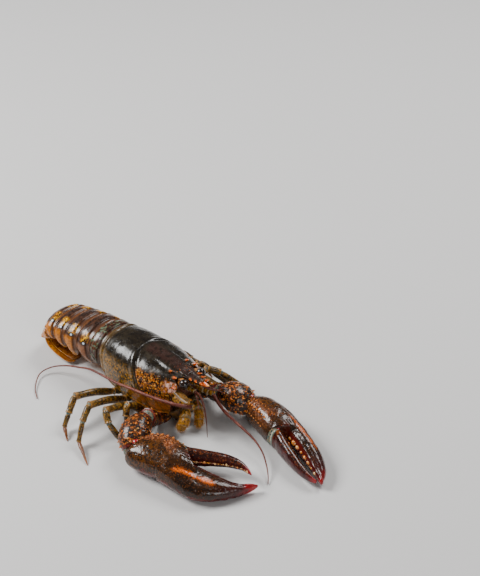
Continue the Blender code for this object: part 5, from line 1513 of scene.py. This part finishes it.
# Claws. Two unlike hands of thick limy shell: a slim cutter on the right and a heavy crusher on the left.
# Palm and fixed finger are one shell, fused from two forms and then dented and pitted; the moving
# finger is hinged at its inner front over pale skin, and both bite on rows of teeth.
CUTTER = {
    "palm": ((2, -2.6, 13.4, 4, 19, -0.62), (5, -7, 18, 1, 22.5, -0.42), (9, -9.8, 21, -0.6, 24.5, -0.2),
             (14, -11, 23, -0.8, 25, 0.0), (20, -10.4, 24.5, -0.6, 24.5, 0.35), (26, -8.2, 21, 0.5, 22, 0.85)),
    "finger": ((20, 5, 24.5, 0.4, 22, 0), (33, 5.5, 28.8, -0.6, 20.5, 0), (46, 7, 32.6, -0.6, 18, 0),
               (57, 8.5, 31.6, -0.4, 15.5, 0), (68, 10, 26.6, 0, 13, 0), (78, 9.8, 19, 0.6, 10.5, 0),
               (85, 7, 11.8, 1.5, 9, 0), (89.5, 4.2, 5.8, 3.5, 6.5, 0)),
    "dactyl": ((26, -7.6, 4.6, 3.0, 20.0, 0.85), (35, -8.4, 3.6, 4.0, 19.5, 0.4), (45, -9.2, 2.4, 5.0, 18.5, 0.1),
               (56, -10.2, 0.2, 6.0, 17.5, 0.0), (66, -10.0, -1.4, 7.0, 16.0, 0.0), (75, -7.0, -1.6, 8.0, 14.5, 0.0),
               (80.5, -3.2, 0.2, 9.0, 13.0, 0.0), (83.5, 0.2, 1.6, 10.0, 12.0, 0.0)),
    "streak": ((33, 21.5), (61, 21.5)), "molars": 0, "knobby": 1.0, "collar": 1.1,
}
CRUSHER = {
    "palm": ((-5, -5.4, 6, 4, 20, 0.0), (0, -7.6, 10, 1.5, 23, 0.0), (8, -9.4, 14, -0.6, 25.5, 0.0),
             (17, -10.4, 15.8, -0.8, 26.5, 0.1), (25, -11.2, 16.2, -0.8, 25.5, 0.3),
             (30.5, -11.2, 12, 0.5, 23.5, 0.6)),
    "finger": ((20, 1.4, 15.8, 0.4, 24, 0), (32, 1.6, 16.2, -0.6, 23, 0), (43, 1.8, 15.6, -0.6, 21, 0),
               (55, 1.0, 14.2, -0.4, 18.5, 0), (65, -0.4, 12.6, 0, 15.5, 0), (74, -2.2, 9.4, 0.8, 12.5, 0),
               (81, -3.6, 4.6, 2, 10, 0), (86, -4.4, -2.2, 4, 8, 0)),
    "dactyl": ((30.5, -11, 0.6, 2, 21.5, 0.6), (38, -11.4, -0.6, 2, 20.5, 0.4), (47, -12.0, -2.8, 2, 18.5, 0.15),
               (58, -12.4, -4.2, 2.5, 16, 0.0), (68, -12.0, -5.6, 3, 13, 0.0), (77, -10.2, -6.6, 3.8, 10.5, 0.0),
               (83, -7.6, -6.0, 5, 8.5, 0.0)),
    "streak": ((34, 10), (64, 9.6)), "molars": 9, "knobby": 0.4, "collar": 0.97,
}


def claw_rings(rows, count, turns=48):
    """Smooth stack of rings between a finger's two edges; lean slides the outer side ahead."""
    table = [(k, *row) for k, row in enumerate(rows)]
    c, s = rounded(circle(turns))
    stack = []
    for t in np.linspace(0, len(rows) - 1, count):
        u, inner, outer, low, high, lean = keyed(table, t)
        v = (inner + outer) / 2 + (outer - inner) / 2 * c
        z = (low + high) / 2 + (high - low) / 2 * s
        stack.append(np.column_stack((u + lean * (v - inner), v, np.maximum(z, 0.0))))
    return np.array(stack)


def domed(grid, start, end):
    """The stack with its two ends rounded off, start and end millimetres deep."""
    ends = []
    for row, other, reach in ((0, 1, start), (-1, -2, end)):
        middle = grid[row].mean(axis=0)
        way = unit(middle - grid[other].mean(axis=0))
        ends.append([middle + (grid[row] - middle) * shrink + way * reach * push
                     for push, shrink in END_ROUNDING])
    return np.concatenate((ends[0][::-1], grid, ends[1]))


def fused(piece, voxel, passes):
    """Overlapping patches made into one even skin and smoothed."""
    melt = piece.modifiers.new("melt", "REMESH")
    melt.mode = "VOXEL"
    melt.voxel_size = voxel * MM
    ease = piece.modifiers.new("ease", "SMOOTH")
    ease.factor = 0.5
    ease.iterations = passes
    return baked(piece)


def point_rows(data, layer):
    """Positions or normals of every point of a mesh."""
    rows = np.zeros(len(data.vertices) * 3)
    layer.foreach_get("co" if layer == data.vertices else "vector", rows)
    return rows.reshape(-1, 3)


def edge_at(rows, u, column):
    rows = np.array(rows, dtype=float)
    return np.interp(u, rows[:, 0], rows[:, column])


def claw_spot(rows, u, turn):
    """Point on a finger's skin at u, turn radians round from its outer edge, and its way out."""
    inner, outer, low, high, lean = keyed([row[:6] for row in rows], u)
    c, s = rounded(turn)
    v = (inner + outer) / 2 + (outer - inner) / 2 * c
    z = (low + high) / 2 + (high - low) / 2 * s
    way = unit((0.0, cos(turn) * (high - low), sin(turn) * (outer - inner)))
    return np.array((u + lean * (v - inner), v, z)), way


def dress_claw(piece, hand, rows, streak, knobby):
    """Dents and pits the skin of a hand, paints its marks and gives how thickly granules stand on it."""
    data = piece.data
    points = point_rows(data, data.vertices) / MM
    normals = point_rows(data, data.vertex_normals)
    local = (points - hand.origin) @ hand.axes.T
    facing = normals @ hand.axes.T
    u, v, z = local.T
    inner = edge_at(rows, u, 1)
    outer = edge_at(rows, u, 2)
    high = edge_at(rows, u, 4)
    across_part = np.clip((v - inner) / (outer - inner), 0, 1)
    top = rise_to(facing[:, 2], 0.1, 0.6)
    lift = 0.2 * grain(local, 4.5, 1) + 0.08 * grain(local, 1.6, 2) + 0.04 * grain(local, 0.8, 3)
    lift -= 0.16 * rise_to(grain(local, 1.7, 4), 0.45, 0.85)
    finger = rise_to(u, 30, 38)
    lift -= 0.5 * bump(v - inner, 3.6, 1.2) * finger * top
    lift += 0.25 * bump(v - inner, 1.4, 1.0) * finger
    lift -= 0.45 * bump(across_part, 0.72, 0.09) * top * rise_to(u, 12, 30) * (1 - rise_to(u, 60, 78))
    lift += knobby * 0.3 * rise_to(grain(local, 2.2, 6), 0.1, 0.6) * (1 - rise_to(across_part, 0.25, 0.45)) * (
        1 - rise_to(u, 18, 28))
    data.vertices.foreach_set("co", ((points + normals * lift[:, None]) * MM).ravel())
    a, b = (np.array(end, dtype=float) for end in streak)
    flat = local[:, :2]
    t = np.clip(((flat - a) @ (b - a)) / ((b - a) @ (b - a)), 0, 1)
    apart = np.linalg.norm(flat - a - t[:, None] * (b - a), axis=1)
    wander = 1.6 * grain(local, 5.0, 8)
    line = (1 - rise_to(apart + wander, -1.6, 5.6)) * top
    edge = rise_to(across_part, 0.7, 0.97) * (1 - rise_to(z / high + 0.12 * grain(local, 3.0, 10), 0.3, 0.5))
    knobs = knobby * (1 - rise_to(across_part + 0.1 * grain(local, 3.0, 11), 0.28, 0.5)) * (
        1 - rise_to(u, 20, 32)) * top
    tip = rise_to(u + 3 * grain(local, 3.0, 12), 79, 89)
    for word, columns in (("lie", (u / 90, across_part, tip)), ("tone", (line, edge, knobs))):
        layer = data.attributes.new(word, "FLOAT_VECTOR", "POINT")
        layer.data.foreach_set("vector", np.column_stack(columns).astype(np.float32).ravel())
    data.shade_smooth()
    data.update()
    return knobs * 0.6 + 0.05 * top * (1 - finger)


def make_palm(word, hand, plan, materials):
    palm = plan["palm"]
    finger = plan["finger"]
    skin = Skin()
    for rows, count, ends in ((palm, 40, (2.0, 1.2)), (finger, 60, (1.0, 0.8))):
        skin.patch(hand.at(domed(claw_rings(rows, count), *ends)))
    body = fused(skin.mesh(f"hand_{word}", materials[:1]), 0.42, 7)
    edges = [row[:5] for row in palm[:4] + finger[1:]]
    rough = dress_claw(body, hand, edges, plan["streak"], plan["knobby"])
    granulate(body, rough, 700000.0, 0.16, 0.42, 0.55, 40)
    extras = Skin()
    for step in range(7):
        u = palm[1][0] + 2.0 + 3.2 * step
        for turn, large in ((2.3, 0.85), (2.85, 0.6), (1.8, 0.42), (2.05, 0.34)):
            large *= 0.8 + 0.3 * ((step * 5 + int(turn * 10)) % 4) / 3
            place, way = claw_spot(palm, min(u + 1.1 * (turn > 2.5), palm[-1][0]), turn)
            extras.thorn(hand.at(place - way * 0.3), hand.way(way + (0.5, 0, 0)), 1.15 * large, 1.9 * large,
                         hand.way((0.7 * large, 0, 0)), slot=2)
    first = finger[1][0] + 1.0
    last = finger[-2][0]
    if plan["molars"]:
        for step in range(plan["molars"]):
            t = step / (plan["molars"] - 1)
            place, _ = claw_spot(finger, first + 4 + (last - 8 - first) * t, pi)
            size = 2.6 * (1 - 0.5 * t) * (1.0, 0.7, 1.08)[step % 3]
            extras.lump(hand.at(place + (0, 0.4, 2.2 - 1.2 * t)), (size * 1.05, size * 0.85, size * 0.85), slot=1,
                        rows=14, cols=20)
    for step in range(44):
        t = step / 43
        place, _ = claw_spot(finger, first + (last - first) * t, pi)
        large = (1.0 if step % 6 == 3 else 0.5 + 0.12 * (step % 3)) * (0.6 if plan["molars"] else 1.0)
        extras.thorn(hand.at(place + (0, 0.4, 0.3 * (step % 2))), hand.way((0.2, -1, 0.1)), large, 1.7 * large,
                     slot=1, sides=8)
    teeth = extras.mesh("teeth", [*materials, GRANULE])
    whole = joined(f"hand_{word}", [body, teeth])
    finish_piece(whole, f"claw_{word}_palm")


def make_mover(word, hand, plan, materials):
    rows = [list(row) for row in plan["dactyl"]]
    for row, slim in zip(rows, (1.3, 1.2, 0.9, 0.5, 0.2)):
        row[1] += slim
        row[4] -= slim
    rows[0][0] += 1.5
    rows[0][2] -= 0.4
    rows[0][3] += 0.7
    rings = domed(claw_rings(rows, 90, 56), 0.9, 0.7)
    total = len(rings)
    u = rings[..., 0]
    edges = [edge_at(rows, u, column) for column in (1, 2, 3, 4)]
    part = np.clip((rings[..., 1] - edges[0]) / np.maximum(edges[1] - edges[0], 0.5), 0, 1)
    rise = np.clip((rings[..., 2] - edges[2]) / np.maximum(edges[3] - edges[2], 0.5), 0, 1)
    lift = 0.14 * grain(rings, 3.5, 21) + 0.05 * grain(rings, 1.3, 22)
    lift -= 0.14 * rise_to(grain(rings, 1.6, 23), 0.45, 0.85)
    lift += 0.45 * bump(u, rows[0][0] + 3.5, 1.6) - 0.35 * bump(u, rows[0][0] + 7.5, 2.0)
    lift -= 0.45 * bump(part, 0.78, 0.1) * (rise > 0.5) * rise_to(u, 36, 44) * (1 - rise_to(u, 68, 78))
    fade = np.clip(np.minimum(np.arange(total), total - 1 - np.arange(total)) / 6, 0, 1)[:, None]
    rings = rings + outward(rings) * (lift * fade)[..., None]
    rings[..., 2] = np.maximum(rings[..., 2], FLOOR_GAP)
    mark = np.stack((u / 90, part, rise_to(u + 3 * grain(rings, 3.0, 24), 74, 83)), axis=2)
    keel = np.maximum(1 - rise_to(part, 0.0, 0.22), rise_to(part, 0.86, 0.98) * 0.6)
    tone = np.stack((np.zeros_like(u), keel, 1 - rise_to(u, rows[0][0] + 2, rows[0][0] + 9)), axis=2)
    skin = Skin()
    skin.patch(hand.at(rings), mark, tone)
    first = rows[1][0]
    last = rows[-2][0]
    for step in range(40):
        t = step / 39
        place, _ = claw_spot(plan["dactyl"][1:], first + (last - first) * t, 0.0)
        large = (1.0 if step % 7 == 4 else 0.5 + 0.1 * (step % 3)) * (0.7 if plan["molars"] else 1.0)
        skin.thorn(hand.at(place + (0, -0.4, 0.3 * (step % 2))), hand.way((0.2, 1, -0.1)), 0.95 * large,
                   1.5 * large, slot=1, sides=8)
    if plan["molars"]:
        for step in range(6):
            place, _ = claw_spot(plan["dactyl"], first + 3 + 5.2 * step, 0.0)
            size = 1.9 * (1 - 0.09 * step)
            skin.lump(hand.at(place + (0, -0.5, 0.3)), (size * 1.1, size * 0.7, size * 0.8), slot=1, rows=12,
                      cols=18)
    # Soft skin under the hinge and the pale knobs the finger turns on
    root = plan["dactyl"][0]
    hinge = claw_rings((plan["palm"][-1], root), 2, 40)
    middle = hinge[1].mean(axis=0)
    collar = [middle + (hinge[1] - middle) * large * plan["collar"] + (push, 0, 0)
              for push, large in ((-2.0, 0.9), (-0.6, 0.97), (0.3, 0.985), (1.1, 0.94), (2.4, 0.84))]
    skin.patch(hand.at(through(collar, 14)), slot=2)
    for turn in (1.25, -1.25):
        place, way = claw_spot(plan["dactyl"], root[0], turn)
        skin.lump(hand.at(place - way * 0.9 - (0.4, 0, 0)), (1.7, 1.5, 1.3), slot=3, rows=12, cols=18)
    piece = skin.mesh(f"moving_finger_{word}", materials)
    finish_piece(piece, f"claw_{word}_dactyl")


def hand_finish():
    """Black-brown shell with fine orange mottling, an orange streak, a dark red lower edge and red tips."""
    made = Finish("hand_wet", 0.32, 0.35)
    tree = made.tree
    along, across_part, tip = made.lie[:3]
    streak, edge, knobby = made.tone[:3]
    rear = band(tree, along, 0.5, 0.1)
    fine = sums(tree, "SUBTRACT", 0.61, made.mul(rear, 0.06))
    bite = made.mul(band(tree, across_part, 0.17, 0.05), band(tree, along, 0.36, 0.5))
    ragged = made.mottle(1.1, sums(tree, "SUBTRACT", 0.8, made.mul(streak, 0.46)), 0.1)
    made.paint((0.01, 0.005, 0.003), (
        (made.mul(made.mottle(9.0, 0.5, 0.15), 0.6), (0.035, 0.011, 0.003)),
        (made.mul(rear, made.mul(made.mottle(5.0, 0.5, 0.12), 0.6)), (0.13, 0.043, 0.004)),
        (made.mul(made.mottle(2.0, 0.58, 0.05), 0.4), (0.16, 0.042, 0.004)),
        (made.mul(made.mottle(1.0, fine, 0.05), 0.7), (0.34, 0.105, 0.006)),
        (made.mul(bite, 0.8), (0.14, 0.006, 0.006)),
        (made.mul(made.dots(1.6, 0.45), made.mul(rear, 0.9)), (0.008, 0.005, 0.004)),
        (made.mul(made.mottle(1.0, 0.54, 0.04), 0.6), (0.008, 0.005, 0.004)),
        (made.mul(knobby, 0.55), (0.22, 0.05, 0.012)),
        (made.mul(knobby, made.mottle(1.5, 0.55, 0.05)), (0.56, 0.22, 0.1)),
        (made.mul(knobby, made.mottle(1.2, 0.54, 0.04)), (0.01, 0.006, 0.005)),
        (ragged, (0.72, 0.125, 0.0)),
        (made.mul(ragged, made.mottle(1.1, 0.57, 0.05)), (0.05, 0.012, 0.004)),
        (made.mul(edge, 0.85), (0.12, 0.006, 0.005)),
        (made.mul(band(tree, along, 0.66, 0.92), 0.75), (0.05, 0.004, 0.005)),
        (made.mul(tip, 0.9), (0.36, 0.006, 0.01)),
        (made.mul(made.mul(tip, made.mottle(1.6, 0.6, 0.05)), 0.4), (0.6, 0.1, 0.04))))
    return made.relief(1.6, 0.8, 0.22, 0.9).uneven_gloss(6.0, 0.16, 0.32).material


def mover_finish():
    """Dark red-brown finger with brighter red edges, and an orange-brown mottle towards its root."""
    made = Finish("finger_wet", 0.26, 0.45)
    tree = made.tree
    along, across_part, tip = made.lie[:3]
    keel, root = made.tone[1:3]
    made.paint((0.022, 0.005, 0.004), (
        (made.mul(made.mottle(7.0, 0.5, 0.12), 0.7), (0.05, 0.01, 0.005)),
        (made.mul(made.mottle(1.4, 0.57, 0.05), 0.7), (0.2, 0.05, 0.01)),
        (made.mul(made.dots(2.4, 0.42), 0.7), (0.008, 0.004, 0.003)),
        (made.mul(root, made.mul(made.mottle(2.4, 0.5, 0.06), 0.85)), (0.42, 0.1, 0.008)),
        (made.mul(root, made.mul(made.mottle(1.2, 0.54, 0.04), 0.85)), (0.01, 0.005, 0.004)),
        (made.mul(keel, 0.8), (0.035, 0.002, 0.003)),
        (made.mul(made.mul(keel, made.mottle(3.0, 0.56, 0.08)), 0.6), (0.09, 0.003, 0.004)),
        (made.mul(tip, 0.75), (0.2, 0.006, 0.008)),
        (made.mul(band(tree, along, 0.86, 0.95), 0.7), (0.4, 0.008, 0.012)),
        (made.mul(band(tree, root, 0.72, 0.84), 0.9), (0.11, 0.17, 0.13)),
        (made.mul(band(tree, root, 0.93, 0.98), made.mottle(1.5, 0.45, 0.08)), (0.5, 0.46, 0.34))))
    return made.relief(1.6, 0.8, 0.2, 0.9).uneven_gloss(6.0, 0.14, 0.3).material


def tooth_finish():
    made = Finish("tooth_ivory", 0.25, 0.7)
    made.paint((0.76, 0.52, 0.24), (
        (made.mottle(2.6, 0.5, 0.08), (0.78, 0.28, 0.03)),
        (made.mul(made.mottle(1.8, 0.54, 0.06), 0.9), (0.34, 0.02, 0.012))))
    return made.relief(0.7, 0.4, 0.05).material


HAND_SHELL = hand_finish()
MOVER_SHELL = mover_finish()
TOOTH = tooth_finish()
for word, hand, plan in (("right", RIGHT_HAND, CUTTER), ("left", LEFT_HAND, CRUSHER)):
    make_palm(word, hand, plan, [HAND_SHELL, TOOTH])
    make_mover(word, hand, plan, [MOVER_SHELL, TOOTH, SOFT_SKIN, CRIMSON])
